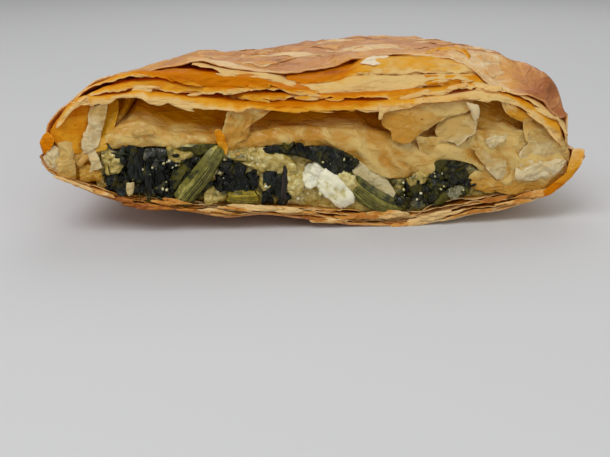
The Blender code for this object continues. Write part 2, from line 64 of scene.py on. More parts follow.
# How far inside the CAD's box every vertex stays, in millimetres.
ROOM = 0.02
# Steps whose multiples, without their whole part, spread places evenly along one axis and a second.
GOLDEN_STEP = 0.618034
SECOND_STEP = 0.754878
Array = np.ndarray
Piece = bpy.types.Object
Material = bpy.types.Material
Pair = tuple[float, float]
Triple = tuple[float, float, float]
Colour = tuple[float, float, float, float]
log = logging.getLogger("bougatsa")


# Lines, noise and meshes


@dataclass(frozen=True)
class Line:
    """A smooth line through a few points, flat at each local high or low."""

    points: tuple[Pair, ...]

    def __call__(self, x: Array | float) -> Array:
        """Heights of the line.

        Args:
            x: Where to read it; beyond its ends the line stays level.

        Returns:
            One value for each x.
        """
        xs, zs = np.array(self.points, float).T
        steps = np.diff(xs)
        slopes = np.diff(zs) / steps
        same_way = slopes[:-1] * slopes[1:] > 0
        sums = np.where(same_way, slopes[:-1] + slopes[1:], 1.0)
        inner = np.where(same_way, 2 * slopes[:-1] * slopes[1:] / sums, 0.0)
        lean = np.concatenate((slopes[:1], inner, slopes[-1:]))
        at = np.clip(x, xs[0], xs[-1])
        i = np.clip(np.searchsorted(xs, at, side="right") - 1, 0, len(steps) - 1)
        t = (at - xs[i]) / steps[i]
        value = zs[i] * (1 - t) ** 2 * (1 + 2 * t) + zs[i + 1] * t * t * (3 - 2 * t)
        return value + steps[i] * (lean[i] * t * (1 - t) ** 2 - lean[i + 1] * t * t * (1 - t))


class Noise:
    """Smooth random fields that are the same on every run."""

    CELL_PRIMES = (374761393, 668265263, 1274126177)
    SEED_PRIME = 83492791
    SCRAMBLES = ((13, 1103515245), (11, 69069))

    @staticmethod
    def corner(cell: Array, seed: int) -> Array:
        """A value from -1 to 1 for each whole-numbered cell.

        Args:
            cell: Whole-numbered places, in the last axis.
            seed: Which noise.

        Returns:
            One value for each cell.
        """
        mixed = (cell.astype(np.int64) * Noise.CELL_PRIMES).sum(axis=-1) + seed * Noise.SEED_PRIME
        for shift, factor in Noise.SCRAMBLES:
            mixed = (mixed ^ (mixed >> shift)) * factor & 0x7FFFFFFF
        return mixed / 0x3FFFFFFF - 1

    @staticmethod
    def value(points: Array, seed: int) -> Array:
        """Smooth noise with a period of about one unit, from -1 to 1.

        Args:
            points: Places, with their axes last.
            seed: Which noise.

        Returns:
            One value for each place.
        """
        base = np.floor(points)
        part = points - base
        smooth = part * part * (3 - 2 * part)
        total = np.zeros(points.shape[:-1])
        for dx in (0, 1):
            for dy in (0, 1):
                for dz in (0, 1):
                    weight = np.ones(points.shape[:-1])
                    for axis, step in enumerate((dx, dy, dz)):
                        weight = weight * (smooth[..., axis] if step else 1 - smooth[..., axis])
                    total += weight * Noise.corner(base + (dx, dy, dz), seed)
        return total

    @staticmethod
    def fractal(x: Array, y: Array, z: Array | float, size: float, seed: int, octaves: int = 4) -> Array:
        """Layered noise.

        Args:
            x, y, z: Where to read it, in millimetres.
            size: The size of its largest lumps, in millimetres.
            seed: Which field.
            octaves: How many finer layers.

        Returns:
            Values of about -1 to 1.
        """
        points = np.stack(np.broadcast_arrays(x, y, z), axis=-1) / size
        total, share = 0.0, 1.0
        for octave in range(octaves):
            total = total + share * Noise.value(points * 2.03 ** octave + 7.7 * octave, seed + octave)
            share *= 0.5
        return total / 1.6

    @staticmethod
    def creases(x: Array, y: Array, z: Array | float, size: float, seed: int, octaves: int = 3) -> Array:
        """Sharp ridges between smooth hollows, from 0 to 1."""
        return 1 - np.abs(Noise.fractal(x, y, z, size, seed, octaves)) * 1.6


def ease(value: Array | float) -> Array:
    """0 below 0, 1 above 1, and a smooth rise between."""
    t = np.clip(value, 0, 1)
    return t * t * (3 - 2 * t)


def torn(x: Array, seed: int, depth: float) -> Array:
    """How far a torn edge stands behind its line: small teeth and a few deeper rips.

    Args:
        x: Places along the edge.
        seed: Which edge.
        depth: The depth of its larger teeth.

    Returns:
        Millimetres behind the line, at each x.
    """
    waves = Noise.fractal(x, seed * 3.1, 0.0, 9.0, seed, 2)
    teeth = np.abs(Noise.fractal(x, seed * 1.7, 0.0, 3.4, seed + 5, 3))
    fringe = Noise.fractal(x, seed * 2.3, 0.0, 0.9, seed + 9, 2)
    return depth * (0.55 * waves + 0.7 * teeth + 0.22 * fringe)


def turned(a: Array | float, b: Array | float, turn: float) -> tuple[Array | float, Array | float]:
    """Two coordinates after a turn in their plane, in radians."""
    return a * math.cos(turn) - b * math.sin(turn), a * math.sin(turn) + b * math.cos(turn)


def columns(left: float, right: float, step: float) -> Array:
    """Evenly spaced places from left to right, about a step apart."""
    return np.linspace(left, right, max(4, int(round((right - left) / step)) + 1))


def normals_of(points: Array) -> Array:
    """Unit normals of a grid of points.

    Args:
        points: The grid, with the axes last.

    Returns:
        One normal for each point.
    """
    across = np.gradient(points, axis=1)
    along = np.gradient(points, axis=0)
    cross = np.cross(along, across)
    length = np.linalg.norm(cross, axis=-1, keepdims=True)
    return cross / np.maximum(length, 1e-9)


def grid(*parts: Array | float) -> Array:
    """Broadcast x, y and z, or three paint shares, into one grid of triples."""
    return np.stack(np.broadcast_arrays(*parts), axis=-1).astype(float)


def ball(around: int, rows: int, tip: float) -> tuple[Array, Array, Array]:
    """Directions over a ball.

    Args:
        around: How many in each row.
        rows: How many rows.
        tip: How far the first and last row are from the poles, in radians.

    Returns:
        Their x, y and z.
    """
    u = np.linspace(0, 2 * math.pi, around, endpoint=False)[None, :]
    v = np.linspace(tip, math.pi - tip, rows)[:, None]
    return np.sin(v) * np.cos(u), np.sin(v) * np.sin(u), np.cos(v) + 0 * u


def quads(rows: int, count: int, start: int = 0, flip: bool = False) -> Array:
    """Faces of a grid of rows by count vertices that are numbered from start.

    Args:
        rows: How many rows.
        count: How many vertices each has.
        start: The number of the first vertex.
        flip: Whether they face the other way.

    Returns:
        Four vertex numbers for each face.
    """
    r, c = np.meshgrid(np.arange(rows - 1), np.arange(count - 1), indexing="ij")
    a = start + r * count + c
    faces = np.stack((a, a + 1, a + count + 1, a + count), axis=-1).reshape(-1, 4)
    return faces[:, ::-1] if flip else faces


@dataclass
class Solid:
    """A closed mesh in millimetres.

    Its paint is three shares a vertex that a finish reads: bake, depth and wetness. Bake is the browning,
    with painted shade added where a piece runs back into the dark; the phyllo finishes read depth as painted
    amber shade and glow in the gaps, a leaf as the strength of its veins and a stalk as the place round it.
    """

    vertices: Array
    faces: Array
    paint: Array

    @classmethod
    def sheet(cls, points: Array, thickness: Array | float, paint: Array, behind: float = 0.0) -> "Solid":
        """A thin sheet round a grid of points.

        Args:
            points: Rows and columns of places.
            thickness: Its thickness, one value or one for each point.
            paint: The paint of each point.
            behind: How much more baked its second side is.

        Returns:
            The sheet.
        """
        rows, count = points.shape[:2]
        half = normals_of(points) * np.broadcast_to(thickness, (rows, count))[..., None] / 2
        vertices = np.concatenate(((points + half).reshape(-1, 3), (points - half).reshape(-1, 3)))
        index = np.arange(rows * count).reshape(rows, count)
        loop = np.concatenate((index[0, :-1], index[:-1, -1], index[-1, :0:-1], index[:0:-1, 0]))
        after, other = np.roll(loop, -1), rows * count
        rim = np.stack((after, loop, loop + other, after + other), axis=-1)
        faces = np.concatenate((quads(rows, count), quads(rows, count, other, flip=True), rim))
        flat = np.broadcast_to(paint, points.shape).reshape(-1, 3)
        return cls(vertices, faces, np.concatenate((flat, flat + (behind, 0, 0))))

    @classmethod
    def tube(cls, rings: Array, paint: Array) -> "Solid":
        """A tube through rings of points, closed at both ends.

        Args:
            rings: Rings of places, without a repeated first point.
            paint: The paint of each point.

        Returns:
            The tube.
        """
        rows, count = rings.shape[:2]
        index = np.arange(rows * count).reshape(rows, count)
        nxt = np.roll(index, -1, axis=1)
        walls = np.stack((index[:-1], nxt[:-1], nxt[1:], index[1:]), axis=-1).reshape(-1, 4)
        first, last = np.full(count, rows * count), np.full(count, rows * count + 1)
        caps = (np.stack((nxt[0], index[0], first, first), axis=-1),
                np.stack((index[-1], nxt[-1], last, last), axis=-1))
        vertices = np.concatenate((rings.reshape(-1, 3), rings[:1].mean(axis=1), rings[-1:].mean(axis=1)))
        flat = np.broadcast_to(paint, rings.shape)
        shares = np.concatenate((flat.reshape(-1, 3), flat[0, :1], flat[-1, :1]))
        return cls(vertices, np.concatenate((walls, *caps)), shares)

    @classmethod
    def join(cls, solids: Sequence["Solid"]) -> "Solid":
        """Several solids as one.

        Args:
            solids: The solids, in order.

        Returns:
            One solid with all their shells.
        """
        starts = np.cumsum([0] + [len(solid.vertices) for solid in solids[:-1]])
        return cls(np.concatenate([solid.vertices for solid in solids]),
                   np.concatenate([solid.faces + start for solid, start in zip(solids, starts)]),
                   np.concatenate([solid.paint for solid in solids]))

    def piece(self, name: str, slot: str, finish: "Finish", nodes: Sequence[str] = ()) -> Piece:
        """Put the solid in the scene, riding with the food.

        Args:
            name: The piece's name.
            slot: The record's material slot; not used.
            finish: What it is made of.
            nodes: The CAD nodes that it stands for.

        Returns:
            The new object.
        """
        low, high = (np.array(corner) for corner in CAD_BOX)
        places = np.clip(self.vertices * MM, low + ROOM * MM, high - ROOM * MM)
        faces = [f if f[2] != f[3] else f[:3] for f in self.faces.tolist()]
        mesh = bpy.data.meshes.new(name)
        mesh.from_pydata(places.tolist(), [], faces)
        mesh.shade_smooth()
        colours = mesh.color_attributes.new("paint", "FLOAT_COLOR", "POINT")
        shares = np.concatenate((np.clip(self.paint, 0, 1), np.ones((len(places), 1))), axis=1)
        colours.data.foreach_set("color", shares.astype(np.float32).ravel())
        mesh.materials.append(finish.material())
        piece = bpy.data.objects.new(name, mesh)
        bpy.context.scene.collection.objects.link(piece)
        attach(piece, "root")
        for node in nodes:
            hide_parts(node)
        return piece


@dataclass(frozen=True)
class Scrap:
    """One torn or crumpled piece that shows at the cut, with its outline as the viewer sees it."""

    outline: tuple[Pair, ...]
    y: float
    seed: int
    lean: Pair = (0.0, 0.0)
    bulge: float = 0.4
    crumple: float = 1.0
    grain: float = 3.2
    sharp: float = 0.65
    jag: float = 0.4
    curl: float = 0.6
    thickness: float = 0.16
    tone: Pair = (0.2, 0.4)
    slant: float = 0.0
    rim: float = 0.3
    # Painted shade and glow: in a phyllo finish depth turns the piece amber, as far back in a gap; a leaf
    # reads it as the strength of its veins.
    depth: float = 0.0
    wet: float = 0.3
    rings: int = 26
    spokes: int = 120

    def edge(self) -> Array:
        """The outline as a closed curve with torn teeth, nearly straight between its corners.

        Returns:
            X and Z of its places, the first again at the end.
        """
        corners = np.array(self.outline, float)
        count = len(corners)
        at = np.linspace(0, count, self.spokes, endpoint=False)
        i, t = at.astype(int), (at % 1)[:, None]
        before, here, after, later = (corners[(i + k) % count] for k in (-1, 0, 1, 2))
        smooth = 0.5 * (2 * here + (after - before) * t + (2 * before - 5 * here + 4 * after - later) * t ** 2
                        + (3 * here - before - 3 * after + later) * t ** 3)
        curve = 0.5 * smooth + 0.5 * (here + (after - here) * t)
        out = curve - corners.mean(axis=0)
        out /= np.maximum(np.linalg.norm(out, axis=1, keepdims=True), 1e-6)
        teeth = Noise.fractal(curve[:, 0], curve[:, 1], self.seed * 0.7, 2.4, self.seed, 4)
        curve = curve + out * (self.jag * (teeth - 0.3 * np.abs(teeth)))[:, None]
        return np.concatenate((curve, curve[:1]))

    def relief(self, x: Array, z: Array) -> Array:
        """Height of the folds: long creases along two slants and soft swells between them.

        Args:
            x: Where, along the cut.
            z: Where, above the floor.

        Returns:
            A height for each place.
        """
        total = 0.0
        for turn, size, share in ((self.seed * 1.3, 1.0, 0.6), (self.seed * 1.3 + 1.1, 0.55, 0.4)):
            along, across = turned(x, z, -turn)
            folds = Noise.creases(along / 2.2, across, self.seed * 0.5, size * self.grain, self.seed + 2, 2)
            total = total + share * (folds - 0.55)
        soft = Noise.fractal(x, z, self.seed * 0.9, 1.8 * self.grain, self.seed + 1, 2)
        fine = Noise.fractal(x, z, self.seed * 0.3, 0.3 * self.grain, self.seed + 3, 2)
        return (1 - self.sharp) * soft + 1.6 * self.sharp * total + 0.1 * fine

    def solid(self) -> Solid:
        """Make the piece.

        Returns:
            The piece as a thin closed sheet.
        """
        edge = self.edge()
        middle = np.array(self.outline, float).mean(axis=0)
        r = np.linspace(0.02, 1, self.rings)[:, None]
        x = middle[0] + (edge[:, 0] - middle[0])[None, :] * r
        z = middle[1] + (edge[:, 1] - middle[1])[None, :] * r
        relief = self.relief(x, z)
        flare = Noise.fractal(edge[:, 0], edge[:, 1], self.seed * 1.1, 2.6, self.seed + 4, 3)[None, :]
        y = self.y + self.lean[0] * (x - middle[0]) + self.lean[1] * (z - middle[1])
        y = y - self.bulge * (1 - r ** 2) - self.crumple * relief - self.curl * flare * r ** 3
        low, high = z.min(), z.max()
        # Bake runs from the first tone at the bottom to the second at the top, and by slant across; pieces
        # that reach into the dark use it for painted shade.
        bake = self.tone[0] + (self.tone[1] - self.tone[0]) * (z - low) / (high - low)
        bake = bake + self.slant * (x - middle[0]) / (x.max() - x.min())
        bake = bake - 0.3 * relief - self.rim * ease((r - 0.86) / 0.14)
        return Solid.sheet(grid(x, y, z), self.thickness, grid(bake, self.depth, self.wet))

    def piece(self, name: str, slot: str, finish: "Finish") -> Piece:
        """Put it in the scene under a name."""
        return self.solid().piece(name, slot, finish)


def ragged_round(x: float, z: float, size: float, narrow: float, turn: float,
                 draw: np.random.Generator) -> tuple[Pair, ...]:
    """A rough oval outline.

    Args:
        x, z: Its middle.
        size: Half its length.
        narrow: Its width as a share of the length.
        turn: Its turn, in radians.
        draw: Where its unevenness comes from.

    Returns:
        Its corners.
    """
    corners = []
    for angle in np.linspace(0, 2 * math.pi, 8, endpoint=False):
        reach = size * draw.uniform(0.65, 1.15)
        along, up = turned(reach * math.cos(angle), narrow * reach * math.sin(angle), turn)
        corners.append((x + along, z + up))
    return tuple(corners)


# Shader graphs


def linear(red: int, green: int, blue: int) -> Colour:
    """A screen colour, 0 to 255, as the linear colour that a shader takes."""
    parts = [c / 255 for c in (red, green, blue)]
    return (*[p / 12.92 if p <= 0.04045 else ((p + 0.055) / 1.055) ** 2.4 for p in parts], 1.0)


class Signal:
    """A shader socket that takes part in Python expressions."""

    def __init__(self, graph: "Graph", socket: bpy.types.NodeSocket) -> None:
        """Wrap an output socket of the graph."""
        self.graph = graph
        self.socket = socket

    def _math(self, operation: str, first: Any, second: Any) -> "Signal":
        """Add one Math node, or a Vector Math node where a value is a vector.

        Args:
            operation: Which sum.
            first: Its first value or signal.
            second: Its second value or signal.

        Returns:
            The result.
        """
        vector = any(isinstance(v, Signal) and v.socket.type == "VECTOR" for v in (first, second))
        kind = "ShaderNodeVectorMath" if vector else "ShaderNodeMath"
        return self.graph.add(kind, {"operation": operation}, {0: first, 1: second})

    def __add__(self, other: Any) -> "Signal":
        """The sum."""
        return self._math("ADD", self, other)

    def __radd__(self, other: Any) -> "Signal":
        """The sum."""
        return self._math("ADD", other, self)

    def __sub__(self, other: Any) -> "Signal":
        """The difference."""
        return self._math("SUBTRACT", self, other)

    def __rsub__(self, other: Any) -> "Signal":
        """The difference."""
        return self._math("SUBTRACT", other, self)

    def __mul__(self, other: Any) -> "Signal":
        """The product."""
        return self._math("MULTIPLY", self, other)

    def __rmul__(self, other: Any) -> "Signal":
        """The product."""
        return self._math("MULTIPLY", other, self)

    def between(self, low: float, high: float) -> "Signal":
        """0 at low and 1 at high, kept in that range, with a smooth rise."""
        sockets = {"Value": self, "From Min": low, "From Max": high, "To Min": 0.0, "To Max": 1.0}
        return self.graph.add("ShaderNodeMapRange", {"interpolation_type": "SMOOTHSTEP"}, sockets)


class Graph:
    """The node graph of one material."""

    def __init__(self, name: str) -> None:
        """Start an empty material of that name.

        Args:
            name: The material's name.
        """
        self.material = bpy.data.materials.new(name)
        self.material.use_nodes = True
        self.tree = self.material.node_tree
        self.tree.nodes.clear()

    def add(self, kind: str, settings: dict[str, Any], sockets: dict[Any, Any], output: Any = 0) -> Signal:
        """Add a node.

        Args:
            kind: Blender's type name of the node.
            settings: Its properties, which are set first.
            sockets: Values or signals for its inputs, by name or number.
            output: The output to return, by name or number.

        Returns:
            That output.
        """
        node = self.tree.nodes.new(kind)
        for key, value in settings.items():
            setattr(node, key, value)
        for key, value in sockets.items():
            if isinstance(value, Signal):
                self.tree.links.new(value.socket, node.inputs[key])
            else:
                node.inputs[key].default_value = value
        return Signal(self, node.outputs[output])

    def place(self) -> Signal:
        """The place on the food, in metres, which moves with it."""
        return self.add("ShaderNodeTexCoord", {}, {}, "Object")

    def paint(self) -> tuple[Signal, Signal, Signal]:
        """The bake, depth and wetness that the mesh carries.

        Returns:
            Three signals from 0 to 1 or a little beyond.
        """
        colour = self.add("ShaderNodeAttribute", {"attribute_name": "paint"}, {}, "Color")
        shares = self.add("ShaderNodeSeparateColor", {}, {0: colour}).socket.node.outputs
        return tuple(Signal(self, share) for share in shares)

    def noise(self, size: float, detail: float = 3.0, stretch: Triple = (1, 1, 1),
              rough: float = 0.55, warp: float = 0.0) -> Signal:
        """Noise from 0 to 1.

        Args:
            size: The size of its lumps, in millimetres.
            detail: How many finer layers.
            stretch: How many times longer the lumps are along each axis.
            rough: How strong the finer layers are.
            warp: How twisted they are.

        Returns:
            The noise's value.
        """
        scale = tuple(1 / s for s in stretch)
        place = self.add("ShaderNodeVectorMath", {"operation": "MULTIPLY"}, {0: self.place(), 1: scale})
        sockets = {"Vector": place, "Scale": 1 / (size * MM), "Detail": detail, "Roughness": rough,
                   "Distortion": warp}
        return self.add("ShaderNodeTexNoise", {}, sockets, 0)

    def folds(self, size: float, detail: float = 2.0, stretch: Triple = (1, 1, 1),
              warp: float = 0.6, width: float = 0.12) -> Signal:
        """Fine creases like those of crumpled paper: 1 on each crease and 0 between.

        Args:
            size: Distance between them in millimetres.
            detail: How many finer layers there are.
            stretch: How long they are along each axis.
            warp: How much they meander.
            width: How much of that distance a crease takes up.

        Returns:
            The creases.
        """
        noise = self.noise(size, detail, stretch, 0.5, warp)
        off = self.add("ShaderNodeMath", {"operation": "ABSOLUTE"}, {0: noise - 0.5})
        return 1 - off.between(0.0, width)

    def cells(self, size: float) -> Signal:
        """Distance from the edges of cells of that size in millimetres."""
        sockets = {"Vector": self.place(), "Scale": 1 / (size * MM)}
        return self.add("ShaderNodeTexVoronoi", {"feature": "DISTANCE_TO_EDGE"}, sockets, "Distance")

    def mix(self, share: Any, first: Any, second: Any) -> Signal:
        """A mix of two colours; share 0 gives the first."""
        return self.add("ShaderNodeMix", {"data_type": "RGBA"}, {0: share, 6: first, 7: second}, 2)

    def grade(self, tone: Signal, first: Any, *steps: tuple[float, float, Any]) -> Signal:
        """A colour that runs through others as a tone rises.

        Args:
            tone: What decides.
            first: The colour below every step.
            steps: Where each further colour begins, where it is full, and the colour.

        Returns:
            The colour.
        """
        for low, high, colour in steps:
            first = self.mix(tone.between(low, high), first, colour)
        return first

    def bump(self, height: Signal, distance: float, strength: float = 1.0) -> Signal:
        """A normal from a height of 0 to 1 that stands for that many millimetres."""
        sockets = {"Height": height, "Distance": distance * MM, "Strength": strength}
        return self.add("ShaderNodeBump", {}, sockets, "Normal")

    def surface(self, colour: Any, roughness: Any, normal: Signal, constants: dict[str, Any],
                light_through: float = 0.0, through_colour: Any = None) -> Material:
        """Finish the graph with its shader.

        Args:
            colour: The base colour.
            roughness: The roughness.
            normal: The bumped normal.
            constants: Plain values for the shader's other sockets.
            light_through: The share of light that a thin sheet lets through.
            through_colour: The colour of that light.

        Returns:
            The material.
        """
        sockets = {"Base Color": colour, "Roughness": roughness, "Normal": normal, **constants}
        shader = self.add("ShaderNodeBsdfPrincipled", {}, sockets)
        if light_through:
            glow = self.add("ShaderNodeBsdfTranslucent", {}, {"Color": through_colour, "Normal": normal})
            shader = self.add("ShaderNodeMixShader", {}, {0: light_through, 1: shader, 2: glow})
        output = self.tree.nodes.new("ShaderNodeOutputMaterial")
        self.tree.links.new(shader.socket, output.inputs["Surface"])
        return self.material


def moist(specular: float, weight: float, reach: float, spread: Triple) -> dict[str, Any]:
    """Shader values of a moist food.

    Args:
        specular: How strongly it reflects.
        weight: The share of light that spreads under its surface.
        reach: How far that light spreads, in millimetres.
        spread: The share of that reach for red, green and blue.

    Returns:
        The values by socket.
    """
    return {"Specular IOR Level": specular, "Subsurface Weight": weight, "Subsurface Scale": reach * MM,
            "Subsurface Radius": spread}


# Finishes


class Finish:
    """A finish that makes its material once and hands it to every piece."""

    made: dict[str, Material] = {}

    def material(self) -> Material:
        """The material, made on first use.

        Returns:
            The material.
        """
        key = repr(self)
        if key not in Finish.made:
            Finish.made[key] = self.make()
        return Finish.made[key]

    def make(self) -> Material:
        """Make the material."""
        raise NotImplementedError


@dataclass(frozen=True)
class BakedPly(Finish):
    """Crisp phyllo, pale at its torn edge, with painted amber shade and glow in the gaps behind it."""

    name: str = "crisp phyllo"
    pale: Colour = linear(255, 230, 152)
    golden: Colour = linear(250, 190, 50)
    amber: Colour = linear(230, 142, 0)
    brown: Colour = linear(180, 92, 8)
    glow: Colour = linear(255, 186, 12)
    light_through: float = 0.36

    def make(self) -> Material:
        """Make the material.

        Returns:
            The material.
        """
        g = Graph(self.name)
        bake, depth, wet = g.paint()
        patches = g.noise(7.0, 3, (2.2, 1, 1), 0.55, 0.5)
        streaks = g.noise(1.1, 3, (5.0, 2.0, 1), 0.6)
        fine = g.noise(0.5, 2, (2.5, 1, 1), 0.6)
        creases = g.folds(4.5, 3, (2.6, 1, 1))
        toast = bake + (patches - 0.5) * 1.0 + (streaks - 0.5) * 0.4 - creases * 0.12
        colour = g.grade(toast, self.pale, (-0.05, 0.45, self.golden), (0.36, 0.88, self.amber),
                         (0.9, 1.3, self.brown))
        # Painted shade and glow: the depth paint turns it amber far back in the gaps.
        colour = g.mix(depth * 0.9, colour, self.amber)
        speck = g.noise(1.3, 2).between(0.76, 0.82)
        colour = g.mix(speck * 0.4, colour, self.brown)
        height = g.noise(2.0, 4, (3.0, 1, 1), 0.6) * 0.6 + streaks * 0.25 + fine * 0.1 + creases * 0.2
        normal = g.bump(height, 1.0, 0.9)
        rough = 0.42 - wet * 0.2 + (streaks - 0.5) * 0.3
        return g.surface(colour, rough, normal, {"Specular IOR Level": 0.07}, self.light_through, self.glow)


@dataclass(frozen=True)
class Skin(Finish):
    """The browned outer skin, tan with darker blisters and paler flakes."""

    name: str = "browned skin"
    pale: Colour = linear(255, 220, 160)
    gold: Colour = linear(240, 178, 92)
    tan: Colour = linear(221, 156, 96)
    brown: Colour = linear(188, 116, 62)
    dark: Colour = linear(140, 76, 36)
    light_through: float = 0.22
    gloss: float = 0.5

    def make(self) -> Material:
        """Make the material.

        Returns:
            The material.
        """
        g = Graph(self.name)
        bake, _, wet = g.paint()
        broad = g.noise(20.0, 3, (1.8, 1, 1), 0.5, 0.6)
        patches = g.noise(6.0, 5, (2.4, 1, 1), 0.62, 0.9)
        fine = g.noise(0.9, 4, (2.2, 1, 1), 0.6)
        creases = g.folds(7.0, 3, (2.4, 1, 1), 0.8, 0.09)
        toast = bake + (broad - 0.5) * 1.2 + (patches - 0.5) * 1.3 + (fine - 0.5) * 0.35 - creases * 0.15
        colour = g.grade(toast, self.pale, (-0.1, 0.3, self.gold), (0.2, 0.55, self.tan),
                         (0.55, 1.0, self.brown), (0.95, 1.45, self.dark))
        height = patches * 0.4 + g.noise(2.6, 4, (2.2, 1, 1), 0.65) * 0.4 + fine * 0.15 + creases * 0.2
        normal = g.bump(height, 1.6, 0.9)
        rough = 0.36 - wet * 0.15 + (patches - 0.5) * 0.4
        constants = {"Specular IOR Level": self.gloss}
        return g.surface(colour, rough, normal, constants, self.light_through, self.gold)


@dataclass(frozen=True)
class SoftPly(Finish):
    """Moist phyllo under the crust: cream in front, with painted amber shade and glow where it runs into the
    dark.
    """

    name: str = "soft phyllo"
    cream: Colour = linear(246, 212, 128)
    custard: Colour = linear(222, 162, 58)
    # The colour of the painted shade and glow where it runs into the dark.
    amber: Colour = linear(250, 186, 14)
    orange: Colour = linear(240, 150, 0)
    light_through: float = 0.3
    subsurface: float = 0.15

    def make(self) -> Material:
        """Make the material.

        Returns:
            The material.
        """
        g = Graph(self.name)
        bake, depth, wet = g.paint()
        cloud = g.noise(4.5, 4, (1.5, 1, 1), 0.6, 0.8)
        streak = g.noise(0.8, 3, (3.5, 1, 1.3), 0.6, 0.4)
        creases = g.folds(4.0, 3, (1.8, 1, 1.2), 0.8, 0.1)
        tone = bake + (cloud - 0.5) * 1.2 + (streak - 0.5) * 0.3 - creases * 0.1
        colour = g.mix(tone.between(-0.1, 0.45), self.cream, self.custard)
        # Painted shade and glow: the depth paint turns it amber where it runs into the dark.
        colour = g.mix(depth.between(0.0, 0.8), colour, self.amber)
        colour = g.mix(tone.between(0.7, 1.05), colour, self.orange)
        normal = g.bump(streak * 0.2 + cloud * 0.6 + creases * 0.2, 0.9, 0.8)
        rough = 0.34 - wet * 0.22 + (streak - 0.5) * 0.2
        constants = moist(0.35, self.subsurface, 2.0, (1.0, 0.6, 0.25))
        return g.surface(colour, rough, normal, constants, self.light_through, self.custard)


@dataclass(frozen=True)
class Custard(Finish):
    """The cheese and egg that binds the filling, mottled with green."""

    name: str = "cheese filling"
    cream: Colour = linear(226, 212, 146)
    yellow: Colour = linear(180, 154, 70)
    green: Colour = linear(104, 96, 40)
    dark: Colour = linear(34, 36, 20)

    def make(self) -> Material:
        """Make the material.

        Returns:
            The material.
        """
        g = Graph(self.name)
        bake, _, wet = g.paint()
        cloud = g.noise(2.6, 4, (1.2, 1, 1), 0.65, 0.8)
        grain = g.noise(0.5, 3)
        tone = bake + (cloud - 0.5) * 2.0 + (grain - 0.5) * 0.3
        colour = g.grade(tone, self.cream, (-0.15, 0.3, self.yellow), (0.32, 0.66, self.green),
                         (0.65, 1.0, self.dark))
        normal = g.bump(cloud * 0.7 + grain * 0.3, 0.5, 0.9)
        rough = 0.3 - wet * 0.1 + (grain - 0.5) * 0.25
        return g.surface(colour, rough, normal, moist(0.6, 0.15, 1.2, (1.0, 0.8, 0.4)))


@dataclass(frozen=True)
class Leaf(Finish):
    """A cooked spinach leaf, nearly black where it folds, with a wet gloss."""

    name: str = "cooked leaf"
    black: Colour = linear(6, 6, 3)
    slate: Colour = linear(32, 38, 34)
    green: Colour = linear(88, 82, 18)
    vein: Colour = linear(104, 106, 72)

    def make(self) -> Material:
        """Make the material.

        Returns:
            The material.
        """
        g = Graph(self.name)
        bake, depth, _ = g.paint()
        cloud = g.noise(3.6, 3, (1, 1, 1.6), 0.6, 0.6)
        patches = g.noise(4.0, 3, (1, 1, 1), 0.6, 0.8)
        veins = 1 - g.cells(2.1).between(0.0, 0.05)
        colour = g.mix(cloud.between(0.46, 0.66), self.black, self.slate)
        colour = g.mix((bake + (patches - 0.56) * 3.2).between(0.0, 1.0), colour, self.green)
        colour = g.mix(veins * depth * 0.4, colour, self.vein)
        height = g.noise(1.8, 2, (1, 1, 3.0), 0.5, 0.8) * 0.6 + g.folds(2.6, 2, (1, 1, 3.0)) * 0.4
        height = height + veins * 0.1
        normal = g.bump(height, 0.6, 0.9)
        return g.surface(colour, 0.3 + (cloud - 0.5) * 0.5, normal, {"Specular IOR Level": 0.22})


@dataclass(frozen=True)
class Stalk(Finish):
    """A cooked stalk with ribs along it; its depth paint goes round it and its wet paint along."""

    name: str = "stalk"
    light: Colour = linear(182, 172, 88)
    green: Colour = linear(110, 104, 32)
    dark: Colour = linear(42, 46, 18)
    stripes: float = 20.0

    def make(self) -> Material:
        """Make the material.

        Returns:
            The material.
        """
        g = Graph(self.name)
        bake, around, along = g.paint()
        place = g.add("ShaderNodeCombineXYZ", {}, {0: around * self.stripes, 1: along * 1.2, 2: bake * 3.0})
        sockets = {"Vector": place, "Scale": 1.0, "Detail": 4.0, "Roughness": 0.65}
        fibres = g.add("ShaderNodeTexNoise", {}, sockets)
        cloud = g.noise(1.8, 3)
        tone = fibres + (cloud - 0.5) * 0.3
        colour = g.grade(tone, self.dark, (0.38, 0.5, self.green), (0.53, 0.62, self.light))
        rough = 0.28 + (cloud - 0.5) * 0.25
        return g.surface(colour, rough, g.bump(fibres, 0.6), moist(0.4, 0.1, 1.2, (0.8, 1.0, 0.3)))


@dataclass(frozen=True)
class Feta(Finish):
    """White crumbly cheese."""

    name: str = "feta"
    white: Colour = linear(250, 244, 212)
    cream: Colour = linear(208, 196, 126)

    def make(self) -> Material:
        """Make the material.

        Returns:
            The material.
        """
        g = Graph(self.name)
        bake = g.paint()[0]
        cloud = g.noise(2.4, 3, (1, 1, 1), 0.6)
        grain = g.noise(0.45, 3)
        colour = g.mix((bake + (cloud - 0.5) * 1.6).between(0.1, 0.9), self.white, self.cream)
        normal = g.bump(grain * 0.5 + cloud * 0.5, 0.5)
        rough = 0.45 + (grain - 0.5) * 0.2
        return g.surface(colour, rough, normal, moist(0.4, 0.25, 1.5, (1.0, 0.9, 0.7)))


@dataclass(frozen=True)
class PaleFloor(Finish):
    """A plain pale floor."""

    name: str = "pale floor"
    colour: Colour = linear(214, 215, 217)
    darker: Colour = linear(200, 201, 204)

    def make(self) -> Material:
        """Make the material.

        Returns:
            The material.
        """
        g = Graph(self.name)
        shade = g.mix(g.noise(60.0, 2) * 0.06, self.colour, self.darker)
        return g.surface(shade, 0.75, g.bump(g.noise(1.5, 2), 0.05, 0.2), {"Specular IOR Level": 0.2})


# The parcel's own shape


